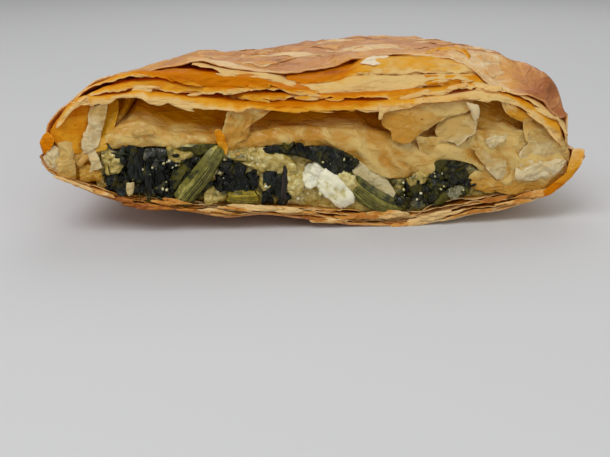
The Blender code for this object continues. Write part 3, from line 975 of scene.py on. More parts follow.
@dataclass(frozen=True)
class Parcel:
    """The outer form and the lines that show at the cut."""

    left: float = -67.6
    right: float = 73.6
    cut: float = -44.0
    back: float = 45.6
    corner: float = 26.0
    highest: float = 44.7
    taper: Pair = (7.0, 4.0)
    bend_reach: float = 40.0
    most_droop: float = 0.5
    top: Line = Line((
        (-68, 20), (-67, 26), (-62, 32.6), (-54, 39.3), (-47, 42), (-39, 43), (-30, 42.8), (-20, 41.8),
        (0, 41.8), (20, 43), (38, 42.8), (50, 41.6), (60, 38.9), (64, 37.4), (66.5, 35.2), (68, 32.4),
        (68.8, 27.6), (69.3, 22), (70.1, 19.4), (72, 18.8), (74, 18.4)))
    bottom: Line = Line((
        (-68, 20), (-66, 17.5), (-62, 14.5), (-53, 10), (-41, 5.5), (-27, 1.6), (-20, 0.1), (36, 0.1),
        (44, 1.4), (52, 3.2), (62, 6.6), (69, 10.6), (73, 16), (74, 17.6)))
    ceiling: Line = Line((
        (-68, 20.6), (-64.5, 25.4), (-62, 28.8), (-59.6, 31.4), (-57.4, 33), (-55, 34.2), (-54.4, 33),
        (-52.6, 33.6), (-49.5, 33.9), (-47.6, 35), (-43, 35.2), (-41.8, 34.8), (-40, 33.6), (-37.4, 33),
        (-35, 33.7), (-31.5, 32.7), (-27, 32.2), (-21, 31.5), (-18, 31.1), (-14.6, 32.1), (-10, 31.5),
        (-5.3, 30.9), (2.5, 31.1), (9.7, 31.2), (17.3, 30.8), (18.8, 30.2), (22.1, 30.8), (25.9, 31.6),
        (29, 32.8), (35.4, 32.7), (40.7, 33.3), (45.1, 32.4), (48, 33.1), (51.5, 32), (56.1, 29.9),
        (60.3, 26.9), (63.1, 24.4), (65.8, 21.9), (68.8, 17.8), (70, 17)))
    floor: Line = Line((
        (-68, 19), (-63, 15.8), (-58, 13.2), (-49, 10.2), (-36, 8.4), (-20, 6.4), (-6, 5.4), (6, 4),
        (18, 3.1), (26, 3), (34, 4.4), (42, 6.4), (51, 7.4), (62, 9), (68, 12), (70, 15)))
    sag: Line = Line((
        (-68, 0), (-30, 0), (-12, 2.2), (6, 2.6), (24, 1.2), (38, 2), (44, 4.6), (48, 7.2), (52, 8),
        (58, 6.8), (61.4, 6.6), (63, 8), (64.4, 9), (66, 8.6), (68, 5.6), (68.8, 1), (74, 0)))
    lift: Line = Line((
        (-68, 0), (-45, 0.6), (-34, 2.6), (-22, 3.4), (-13, 4.2), (-4, 3), (6, 1.4), (14, 0.5), (28, 0.1),
        (35, 1), (43, 1.2), (52, 0.3), (62, 0), (74, 0)))
    droop: Line = Line((
        (-68, 3), (-62, 6), (-54, 9), (-44, 7.8), (-36, 5.2), (-28, 3), (-14, 2.6), (-4, 1.2), (6, 0),
        (74, 0)))

    def back_y(self, x: Array) -> Array:
        """Y of the far side at each x.

        Args:
            x: Where, along the cut.

        Returns:
            Its Y for each x.
        """
        over = np.clip(np.abs(x - (self.left + self.right) / 2) - (self.right - self.left) / 2 + self.corner,
                       0, self.corner)
        return self.back - self.corner + self.corner * np.sqrt(1 - (over / self.corner) ** 2)

    @staticmethod
    def fade(y: Array, far: Array, power: float, start: float) -> Array:
        """1 as far back as start, falling to 0 at the far side as a rounded edge."""
        along = np.clip((y - start) / np.maximum(far - start, 1), 0, 1)
        return np.sqrt(1 - along ** power)

    def seam_z(self, x: Array) -> Array:
        """Height at which the top and the bottom meet at the far side."""
        return self.bottom(x) + 0.42 * (self.top(x) - self.bottom(x))

    def closing(self, x: Array) -> Array:
        """1 along the parcel, falling to 0 over the last of each end."""
        room = np.minimum(x - self.left, self.right - x)
        return np.sqrt(np.clip(room / 1.6, 0, 1))

    def wrinkles(self, x: Array, y: Array) -> Array:
        """Height of the baked creases and blisters of the skin.

        Args:
            x: Where, along the cut.
            y: Where, from front to back.

        Returns:
            A height for each place.
        """
        pillows = 1.5 * Noise.fractal(x / 1.8, y, 0, 15, 11, 3)
        ridges = 1.9 * (Noise.creases((x + 0.6 * y) / 2.6, y, 0, 8, 17, 3) - 0.6)
        small = 0.5 * (Noise.creases(x / 2, y, 0, 3.2, 29, 2) - 0.6)
        return pillows + ridges + small + 0.3 * Noise.fractal(x / 1.6, y, 0, 1.8, 19, 2)

    def skin_z(self, x: Array, y: Array) -> Array:
        """Height of the skin before it is bent.

        Args:
            x: Where, along the cut.
            y: Where, from front to back.

        Returns:
            A height for each place.
        """
        thick = self.top(x) - self.bottom(x)
        end = ease((x - 59) / 4)
        sag = self.sag(x) * ease((-26 - 10 * end - y) / (14 - 8 * end))
        height = self.top(x) - self.seam_z(x) - sag + self.wrinkles(x, y) * np.clip(thick / 20 - 0.1, 0, 1)
        shape = self.fade(y, self.back_y(x), 2.6, -8.0) * self.closing(x)
        return np.minimum(self.seam_z(x) + height * shape, self.highest)

    def base_z(self, x: Array, y: Array) -> Array:
        """Height of the underside.

        Args:
            x: Where, along the cut.
            y: Where, from front to back.

        Returns:
            A height for each place.
        """
        lift = self.lift(x) * ease((-22 - y) / 18)
        shape = self.fade(y, self.back_y(x), 3, 20.0) * self.closing(x)
        low = self.seam_z(x) - (self.seam_z(x) - self.bottom(x) - lift) * shape
        creases = 0.25 * Noise.creases(x, y / 2, 0, 9, 23, 2)
        return np.maximum(low, 0.05) + creases * ease(low / 2)

    def bent(self, points: Array) -> Array:
        """Points of the straight parcel where they lie: the ends draw in and the left part sinks.

        Args:
            points: Places of the straight parcel.

        Returns:
            Places of the real one.
        """
        x, y, z = (points[..., k] for k in range(3))
        behind = np.clip((y - self.cut - 1) / self.bend_reach, 0, 1)
        middle = (self.left + self.right) / 2
        off = (x - middle) / (self.right - middle)
        inward = np.where(off < 0, *self.taper) * np.abs(off) ** 2.5 * behind
        seam = self.seam_z(x)
        share = np.minimum(self.droop(x) / np.maximum(self.top(x) - seam, 1), self.most_droop)
        return np.stack((x - np.sign(off) * inward, y, z - np.maximum(z - seam, 0) * share * behind), axis=-1)


@dataclass
class Shell:
    """The skin over the top, round the far side and underneath, as one sheet, with loose flakes."""

    parcel: Parcel
    step: float = 0.45
    thickness: float = 0.4
    skin_edge: Line = Line((
        (-68, -41), (-60, -38), (-50, -35), (-36, -34), (-22, -34), (-8, -32.5), (20, -31.5), (36, -33),
        (44, -38), (50, -41), (58, -42.4), (65, -42.8), (68, -41.8), (74, -40)))
    base_edge: Line = Line(((-68, -44), (-20, -44.6), (30, -45), (60, -44.4), (74, -44)))
    base_tone: Line = Line((
        (-68, 0.9), (-30, 0.9), (-10, 0.6), (10, 0.4), (30, 0.15), (60, 0.1), (74, 0.2)))
    flakes: int = 32
    flake_sizes: Pair = (3.5, 12.0)

    def places(self) -> Array:
        """Columns, closer together towards both ends.

        Returns:
            Their X.
        """
        turns = np.linspace(-1, 1, int((self.parcel.right - self.parcel.left) / self.step))
        middle, half = (self.parcel.left + self.parcel.right) / 2, (self.parcel.right - self.parcel.left) / 2
        return middle + half * np.sin(turns * math.pi / 2) * 0.4 + half * 0.6 * turns

    def crust(self) -> Piece:
        """Make the skin and the base.

        Returns:
            The piece.
        """
        p = self.parcel
        x = self.places()[None, :]
        front = self.skin_edge(x) + torn(x, 31, 0.9)
        far = p.back_y(x)
        t = np.linspace(0, 1, 170)[:, None]
        y_top = front + (far - front) * (1 - (1 - t) ** 1.35)
        near = np.exp(-((y_top - front) / 1.8) ** 2)
        z_top = p.skin_z(x, y_top) + 0.8 * near * Noise.fractal(x, 0.0, 0.0, 8, 41, 3) * ease((73 - x) / 6)
        base = self.base_edge(x) + torn(x, 37, 0.9)
        b = np.linspace(1, 0, 70)[1:, None]
        y_low = base + (far - base) * (1 - (1 - b) ** 1.6)
        z_low = p.base_z(x, y_low)
        points = p.bent(grid(x, np.concatenate((y_top, y_low)), np.concatenate((z_top, z_low))))
        from_edge = y_top - front
        shoulder = ease((x - 52) / 8) * (0.42 * np.exp(-((from_edge - 2.5) / 3.0) ** 2) + 0.1)
        close = ease(1.2 - from_edge / 7)
        shoulder = shoulder + 0.3 * ease((x - 61) / 3) - (0.2 + 0.7 * close) * ease((x - 68.2) / 0.8)
        shoulder = shoulder - 0.5 * np.exp(-((x - 49) / 5.5) ** 2) * ease(1 - from_edge / 14)
        rim = np.exp(-(from_edge / 0.7) ** 2) * (0.45 - 0.3 * ease((x - 44) / 8))
        streak = 0.25 * Noise.fractal(x / 4, y_top, 0, 6, 43, 3)
        middle = 0.19 * np.exp(-((x - 8) / 22) ** 2)
        top_bake = 0.4 + middle + shoulder + streak + 0.12 * ease((y_top + 20) / 30) - rim
        top_bake = top_bake - 0.5 * close * ease((-60 - x) / 4)
        bake = np.concatenate((top_bake, self.base_tone(x) + 0 * y_low))
        skin = Solid.sheet(points, self.thickness, grid(bake, 0, 0))
        return skin.piece("skin", "baked_phyllo", Skin(), ("pastry",))

    def flake(self, middle: Pair, size: float, narrow: float, turn: float, seed: int, bake: float) -> Solid:
        """Make one loose flake that lies on the skin.

        Args:
            middle: Its X and Y.
            size: Half its length.
            narrow: Its width as a share of the length.
            turn: Its turn, in radians.
            seed: Which unevenness.
            bake: How brown it is.

        Returns:
            The flake.
        """
        p = self.parcel
        r = np.linspace(0.02, 1, 14)[:, None]
        a = np.linspace(0, 2 * math.pi, 91)[None, :]
        edge = 1 + 0.75 * Noise.fractal(np.cos(a) * 2, np.sin(a) * 2, seed * 1.9, 0.9, 400 + seed, 5)
        px, py = size * r * edge * np.cos(a), narrow * size * r * edge * np.sin(a)
        across, along = turned(px, py, turn)
        x, y = middle[0] + across, middle[1] + along
        bend = np.clip(Noise.fractal(x, y, seed, 5, 31, 2) + 0.1, 0, 1)
        lift = 0.06 + 0.6 * ease((r - 0.5) / 0.5) * bend
        z = np.minimum(p.skin_z(x, y) + lift + 0.12, 44.8)
        tone = bake + 0.25 * Noise.fractal(x / 2, y, seed, 5, 33, 2) - 0.2 * ease((r - 0.8) / 0.2)
        return Solid.sheet(p.bent(grid(x, y, z)), 0.12, grid(tone, 0, 0))

    def loose(self) -> list[Piece]:
        """Make the loose flakes that lie on the skin.

        Returns:
            The pale ones at the edge, then the others.
        """
        draw = np.random.default_rng(21)
        made = []
        for i in range(self.flakes):
            middle = (-48 + 110 * ((i * GOLDEN_STEP + 0.3) % 1), -27 + 62 * ((i + 0.5) / self.flakes))
            size, turn = draw.uniform(*self.flake_sizes), draw.uniform(-0.35, 0.35)
            made.append(self.flake(middle, size, 0.3, turn, i, draw.uniform(0.0, 0.55)))
        tips = [
            Scrap((
                (14.2, 41.8), (16.5, 42.7), (19.6, 43), (22, 43), (20.9, 42.1), (18.8, 41.4), (17.3, 41.3),
                (15.3, 41.6)), -34.5, 270, (0, 2.9), 0.3, 0.8, 2.4, tone=(-0.2, -0.2), rim=0.0).solid(),
            self.flake((50.4, -24), 5.6, 1.3, 0.3, 271, 0.4),
            self.flake((48.8, -33.2), 4.4, 0.45, 0.1, 272, 0.3)]
        cream = Skin("pale flakes", linear(255, 240, 205), linear(250, 216, 156), linear(238, 188, 126))
        return [Solid.join(tips).piece("skin_tips", "baked_phyllo", cream),
                Solid.join(made).piece("skin_flakes", "baked_phyllo", Skin())]

    def dent(self) -> Piece:
        """Make the amber fold that lies on the skin above the right part.

        Returns:
            The piece.
        """
        p = self.parcel
        u = np.linspace(0, 1, 70)[None, :]
        v = np.linspace(-1, 1, 16)[:, None]
        x = 32.5 + 12 * u + 0.5 * v
        swell = np.sin(math.pi * u ** 1.6)
        y = -31.0 + 6.5 * swell + (0.8 + 2.8 * swell) * v + 0.8 * Noise.fractal(x, v, 0.0, 3, 281, 3)
        z = np.minimum(p.skin_z(x, y) + 0.3 + 0.5 * Noise.fractal(x, y, 0.0, 2.4, 283, 3), 44.9)
        fold = Solid.sheet(p.bent(grid(x, y, z)), 0.15, grid(0.65 - 0.6 * v ** 2 + 0 * u, 0.1, 0.2))
        return fold.piece("skin_fold", "baked_phyllo", BakedPly())

    def build(self) -> list[Piece]:
        """Make the skin and its flakes."""
        return [self.crust(), *self.loose(), self.dent()]


@dataclass
class Ply:
    """One ply of the crust: a face between its torn edge and its top, then a roof that goes back."""

    name: str
    edge: Line
    top: Line
    span: Pair
    seed: int
    y: float = -42.5
    lean: float = 2.5
    tone: Line = Line(((-68, 0.3), (74, 0.3)))
    # How much darker its roof gets as it runs back under the ply above: painted shade.
    upper: float = 0.35
    depth: float = 12.0
    rise: float = 0.05
    under: float = 0.8
    tears: float = 0.8
    relief: float = 0.45
    flare: float = 0.6
    rim: float = 0.45
    thickness: float = 0.2
    step: float = 0.3

    def build(self, parcel: Parcel) -> Piece:
        """Make the ply.

        Args:
            parcel: The parcel's shape, which keeps the ply under the skin.

        Returns:
            The piece.
        """
        x = columns(*self.span, self.step)[None, :]
        band = np.maximum(self.top(x) - self.edge(x), 0.6)
        t = np.linspace(0, 1, 26)[:, None]
        tear = np.clip(torn(x, self.seed, self.tears) / band, -0.25, 0.7)
        face = tear + (1 - tear) * t
        r = (np.linspace(0, 1, 14)[1:, None]) ** 1.4
        ends = ease((x - self.span[0]) / 4) * ease((self.span[1] - x) / 4)
        swing = 0.8 * Noise.fractal(x, self.seed * 1.0, 0.0, 13, self.seed + 8, 2)
        start = self.y + swing + 3.0 * (1 - ends)
        front = start + self.lean * (1 - np.cos(face * math.pi / 2))
        y = np.concatenate((front, start + self.lean + self.depth * r))
        z = np.concatenate((self.edge(x) + band * np.sin(np.maximum(face, -0.3) * math.pi / 2),
                            self.top(x) + self.rise * self.depth * r))
        share = np.concatenate((t, 1 + r)) + 0 * x
        broad = Noise.fractal(x / 1.8, z, y / 2, 5.5, self.seed, 3)
        creases = Noise.creases(x / 3.2, z, y / 2, 2.4, self.seed + 2, 3) - 0.6
        fine = Noise.fractal(x / 1.5, z, y / 2, 1.1, self.seed + 3, 2)
        bumps = self.relief * (1.1 * broad + 1.7 * creases + 0.3 * fine)
        flare = self.flare * Noise.fractal(x, 0.0, 0.0, 5.0, self.seed + 6, 3) * np.exp(-(share / 0.35) ** 2)
        y = y - (bumps * np.clip(1.2 - share, 0, 1) + flare)
        z = z + bumps * np.clip(share - 0.6, 0, 1) + 0.5 * flare
        points = parcel.bent(grid(x, y, z))
        skin = parcel.bent(grid(x, np.maximum(y, -42), parcel.skin_z(x, np.maximum(y, -42))))[..., 2]
        corners = ease((-59 - x) / 4) + ease((x - 62) / 4)
        inside = self.under + 5 * corners * ease((share - 1) / 0.4)
        inside = inside - 1.4 * ease((x - 67.4) / 1.4) * ease((1.15 - share) / 0.2)
        points[..., 2] = np.minimum(points[..., 2], skin - inside)
        rim = np.exp(-((share - 0.0) * (0.4 + band) / (self.rim * (1 + 0.9 * fine[:1]))) ** 2)
        # Painted shade and glow: upper darkens the roof as it runs back under the ply above, and the depth
        # paint turns it amber there; the torn rim is paler.
        bake = self.tone(x) + self.upper * ease(share) + 0.25 * broad - 0.45 * rim
        paint = grid(bake, ease(share - 0.9), 0)
        return Solid.sheet(points, self.thickness, paint, 0.2).piece(self.name, "baked_phyllo", BakedPly())


@dataclass
class PlyStack:
    """The plies between the skin and the hollow, from the back to the lip in front."""

    parcel: Parcel

    def plies(self) -> list[Ply]:
        """The plies that show, each with the lines of its torn edge and of its top.

        Returns:
            The plies, from the back to the front.
        """
        # Painted shade and glow: the amber tone of the back plies that sit far back in the gaps.
        amber = Line(((-68, 0.8), (74, 0.8)))
        golden = Line(((-68, 0.45), (74, 0.45)))
        strip_edge = Line((
            (-29, 42.6), (-26, 41.9), (-23.5, 40.8), (-19.4, 38.9), (-17, 38.7), (-14.2, 38.8), (-9.5, 38),
            (-7.2, 36.7), (-3.8, 35.6), (-1, 34.6), (3.2, 34.6), (7.6, 34.4), (12.5, 34.5), (16.6, 34.3),
            (19.5, 33.4), (22.9, 33.2), (24.4, 34.2), (27.4, 35.4), (31.5, 36.8), (36.4, 37.2),
            (41.7, 37.2), (46, 36)))
        strip_top = Line((
            (-29, 43), (-25.3, 42.2), (-21.1, 41.2), (-16.5, 40.5), (-11.7, 40), (-8, 39.2), (-4.6, 37.6),
            (-0.8, 36.8), (6, 37.2), (12.7, 38.7), (22.4, 38.6), (35, 39.1), (46, 38.6)))
        second = Line((
            (-62, 30.6), (-56.1, 36.4), (-52.8, 37.8), (-48.7, 39), (-43.6, 39.8), (-37.3, 39.5),
            (-31.4, 38), (-25.9, 37.3), (-14.3, 37.1), (-9.6, 36.9), (-4, 35.4), (2, 34.8)))
        third = Line((
            (-60, 32), (-54, 35.6), (-50, 36.3), (-46, 36.4), (-43.7, 36.9), (-40.1, 37), (-36.5, 36.5),
            (-32.9, 35.8), (-28.3, 35.5), (-24.6, 35.7), (-19, 36), (-14.4, 36.1), (-9.7, 36), (-2.7, 34.6),
            (4, 34.2)))
        middle = Line((
            (-18, 34.2), (-8, 33.7), (-2.2, 33.9), (4.9, 33.8), (12, 33.4), (15.8, 33.6), (19.2, 33.4),
            (21.6, 32.8), (24.5, 33.4), (28.4, 34.2), (34.2, 34.3), (38.9, 35.8), (44, 35.4), (50, 34.4)))
        arch = Line((
            (40, 34.6), (43.3, 35.2), (47.7, 35.2), (52.6, 34), (57.8, 31.6), (61.4, 29.4), (65.6, 26.4),
            (68, 22.4), (69.4, 18.6), (71, 17)))
        arch_top = Line((
            (40, 37), (44, 36.8), (51, 35.2), (58, 33), (62, 30.8), (65, 28), (68.4, 26.2), (69.7, 22.6),
            (70.7, 18.6)))
        lip_top = Line((
            (-67, 23), (-62, 31), (-58.5, 34.5), (-55.7, 35.7), (-50.8, 35.8), (-46.3, 36), (-43.5, 36.8),
            (-37.3, 36), (-30.6, 34.9), (-23.7, 34.2), (-16.8, 33.5), (-9.9, 33.1), (2.6, 33.1), (9, 33),
            (17, 33), (26, 33.6), (33.7, 34.1), (39.5, 34.6), (43.3, 35.3), (47.7, 35.3), (52.6, 34),
            (57.8, 31.6), (61.4, 29.6), (65.6, 27), (68.1, 23.2), (69.4, 18.6)))
        lip_tone = Line((
            (-67, 0.5), (-60, 0.15), (-54, 0), (-40, 0), (-30, 0.1), (-18, 0.3), (-6, 0.6), (8, 0.7),
            (16, 0.45), (22, 0.1), (28, -0.2), (44, -0.35), (50, -0.1), (56, 0.2), (60, 0), (66, 0),
            (70, 0)))
        third_tone = Line(((-60, 0.05), (-40, 0.15), (-24, 0.35), (-12, 0.5), (4, 0.4)))
        olive = Line((
            (-4, 37.2), (2, 37), (7.9, 37.8), (12.7, 38.7), (17.6, 38.8), (22.4, 38.6), (29.3, 39),
            (35.2, 39), (43.6, 39), (50, 37)))
        olive_top = Line((
            (-4, 38.4), (6, 39), (12, 40.6), (16, 42), (22, 42.6), (30, 42.8), (36, 42.2), (44, 40.8),
            (50, 38)))
        return [
            Ply(
                "ply_back_end", Line(((-62, 29.6), (-54, 34.6), (-46, 36.6), (-32, 36.8))), Line(((-62, 31),
                (-54, 36.8), (-46, 39.6), (-32, 40.2))), (-62, -30), 64, -39.6, 3.0, golden, 0.2, under=0.9,
                rim=0.2),
            Ply(
                "ply_back_left", Line(((-34, 38.4), (-24, 38.6), (-8, 37))), Line(((-34, 41.4),
                (-8, 39.6))), (-36, -6), 61, -36.5, 5, amber, 0.2, under=1.6, rim=0.2),
            Ply(
                "ply_back_middle", Line(((-16, 37.4), (-6, 36.4), (6, 36.4), (16, 38.2))),
                Line(((-16, 39.6), (0, 39.4), (16, 41.4))), (-18, 18), 62, -34.5, 6, amber, 0.2, under=1.4,
                rim=0.2),
            Ply(
                "ply_back_right", Line(((16, 35), (28, 35.6), (38, 36), (48, 35.4))), Line(((16, 37.6),
                (30, 38.8), (48, 38.2))), (27, 50), 63, -40.2, 1.5, golden, 0.2, under=1.0, rim=0.2),
            Ply(
                "ply_olive", olive, olive_top, (-5, 51), 3, -37, 3.5, Line(((-4, 1), (6, 0.95), (11, 0.6),
                (18, 0.12), (50, 0.1))), 0.05, under=0.2, relief=0.6, rim=0.6),
            Ply(
                "ply_strip", strip_edge, strip_top, (-29.5, 47), 5, -39.6, 2.4, Line(((-30, -0.05),
                (-8, -0.1), (6, 0), (15, -0.05), (19, -0.3), (26, -0.25), (34, 0), (46, 0.1))), 0.0,
                under=0.5, tears=0.7, relief=0.35, rim=0.7),
            Ply(
                "ply_second", second, Line(((-62, 31.4), (-55.6, 37.8), (-50.9, 39.8), (-46.3, 41.2),
                (-41.7, 41.8), (-32.6, 41.4), (-24, 40.4), (-14, 39.6), (-6, 37.4), (2, 36))), (-63, 3), 11,
                -41.2, 2.6, Line(((-62, 0.1), (-48, 0.2), (-38, 0.75), (-25, 1), (-10, 0.95), (3, 0.6))),
                0.25, under=0.2, rim=0.25),
            Ply(
                "ply_third", third, Line(((-60, 32.8), (-54, 36.8), (-48, 38.6), (-43, 39.4), (-37, 39.2),
                (-31, 38), (-25, 37.4), (-14, 37.2), (-9, 37), (4, 35.2))), (-61, 5), 13, -41.8, 2.2,
                third_tone, 0.25, under=1.0, rim=0.45),
            Ply(
                "ply_middle", middle, Line(((-18, 35.8), (-8, 35.4), (0, 34.8), (8, 34.6), (16, 34.8),
                (20, 35), (28, 35.6), (34, 35.8), (40, 36.8), (50, 35.4))), (-20, 51), 21, -42.0, 2.0,
                Line(((-20, 0.5), (10, 0.6), (20, 0.3), (30, 0.1), (50, 0.2))), 0.4, tears=1.0, under=1.2),
            Ply(
                "ply_arch", arch, arch_top, (41, 71.2), 9, -43.0, 2.2, Line(((40, -0.5), (50, -0.55),
                (56, -0.35), (60, -0.1), (64, -0.3), (70, -0.3))), 0.1, under=0.1, rim=0.9),
            Ply(
                "lip", self.parcel.ceiling, lip_top, (-66.4, 69.6), 51, -43.7, 2.2, lip_tone, 0.35, 18.0,
                under=1.0, tears=0.5, relief=0.5, rim=1.0, thickness=0.24),
        ]

    def build(self) -> list[Piece]:
        """Make every ply, and broken slivers along their edges.

        Returns:
            The pieces.
        """
        stack = self.plies()
        made = [ply.build(self.parcel) for ply in stack]
        draw = np.random.default_rng(45)
        slivers = []
        for ply in stack[4:]:
            count = int((ply.span[1] - ply.span[0]) / 7)
            for i in range(count):
                x = draw.uniform(ply.span[0] + 4, ply.span[1] - 4)
                z = float(ply.edge(x)) + draw.uniform(-0.1, 0.7)
                slope = math.atan(float(ply.edge(x + 1) - ply.edge(x - 1)) / 2)
                outline = ragged_round(x, z, draw.uniform(1.2, 4.2), draw.uniform(0.1, 0.24),
                                       slope + draw.uniform(-0.12, 0.12), draw)
                tone = float(ply.tone(x)) - 0.1
                slivers.append(Scrap(
                    outline, ply.y - 0.25, 700 + len(slivers), (0, 0.3), 0.1, 0.4, 2.0, jag=0.15, curl=0.3,
                    thickness=0.12, tone=(tone - 0.2, tone + 0.2), rings=6, spokes=30).solid())
        return [*made, Solid.join(slivers).piece("slivers", "baked_phyllo", BakedPly())]


@dataclass
class SoftLayer:
    """The moist plies on the filling: an apron in front and a shelf that runs up into the dark."""

    parcel: Parcel
    under: Line = Line((
        (-68, 18), (-60, 18.6), (-55, 19.6), (-52, 21.6), (-48, 22.4), (-45, 22.6), (-42, 22.8),
        (-36, 22.8), (-33, 22.2), (-29, 22.2), (-25, 23), (-20, 21.8), (-15, 21.8), (-10, 22.4), (-6, 22.4),
        (2, 21.6), (8, 20.6), (11, 19.2), (14, 16.4), (18, 13.8), (22, 12.4), (26, 12.6), (32, 13.6),
        (34, 15.8), (37, 17.4), (43, 15.8), (47, 12.4), (50, 8.8), (70, 13)))
    over: Line = Line((
        (-68, 21), (-62, 22.5), (-56, 22.6), (-52, 25), (-47, 28), (-43, 28.6), (-39, 27.2), (-34, 25.4),
        (-28, 24.6), (-20, 25.4), (-15, 25.4), (-6, 26.4), (4, 26), (12, 25.4), (20, 24.4), (30, 23),
        (36, 23.4), (44, 24.4), (52, 24), (60, 21.6), (66, 18.4), (70, 17)))
    tone: Line = Line((
        (-68, 0.3), (-52, 0.25), (-44, 0.3), (-36, 0.2), (-28, 0.25), (-20, 0.45), (-12, 0.45), (-6, 0.35),
        (2, 0.25), (9, 0.2), (14, 0.25), (24, 0.2), (31, 0.2), (37, 0.2), (46, 0.15), (54, 0.2), (66, 0.1)))

    def build(self) -> list[Piece]:
        """Make the layer.

        Returns:
            The piece, alone in its list.
        """
        p = self.parcel
        x = columns(-65.4, 68.2, 0.33)[None, :]
        t = np.linspace(0, 1, 32)[:, None]
        s = (np.linspace(0, 1, 46) ** 1.1)[1:, None]
        under = self.under(x) + torn(x, 61, 0.5)
        over = np.maximum(self.over(x), under + 0.8)
        tall = np.clip((over - under) / 6, 0.15, 1)
        apron_y = p.cut + 1.5 + 1.3 * t ** 2 - 0.8 * tall * np.sin(math.pi * t)
        under_skin = p.bent(grid(x, -30.0, p.skin_z(x, -30.0 + 0 * x)))[..., 2] - 1.5
        roof = np.minimum(p.ceiling(x) + 2.5, under_skin)
        y = np.concatenate((apron_y + 0 * x, p.cut + 2.8 + 15 * s + 0 * x))
        z = np.concatenate((under + (over - under) * t, over + (roof - over) * s ** 1.25))
        along = np.concatenate((t * 0, s))
        slant = x + 0.7 * z
        folds = 1.2 * Noise.fractal(slant, y / 2, z / 2.2, 7, 63, 3)
        folds = folds + 1.5 * (Noise.creases(slant / 1.5, y / 2, z / 1.6, 4.2, 67, 2) - 0.55)
        folds = folds + 0.15 * Noise.fractal(slant, y, z, 1.3, 69, 2)
        folds = folds * (1 + 0.7 * ease((x - 42) / 4))
        y = y - folds * 0.8 * (1 - along)
        z = z + folds * 0.6 * ease(along * 6) * (1 - 0.4 * along)
        groove = np.exp(-((x + 48.4 - 0.62 * (z - 27)) / 0.9) ** 2)
        groove = groove * ease((z - 25.5) / 2.5) * ease((37 - z) / 3)
        y = y + 6.0 * groove * ease(along * 5)
        orange = ease((-52 - x) / 3) * ease((z - 21) / 4) + 0.55 * ease((x - 43) / 4) * ease(along * 3)
        bake = self.tone(x) + 0.8 * orange - 0.2 * folds
        # Painted shade and glow: amber further into the shelf that runs up into the dark, less at the right
        # end and round the middle.
        painted_glow_shade = ease(along * 2.2 - 0.05) * (1 - 0.5 * ease((x - 43) / 4) - 0.22 * np.exp(-((x + 8) / 6) ** 2))
        points = grid(x, y, z)
        points[..., 0] = p.bent(points)[..., 0]
        solid = Solid.sheet(points, 0.6, grid(bake, painted_glow_shade, 0.35))
        return [solid.piece("soft_layer", "soft_phyllo", SoftPly(), ("inner_plies",))]


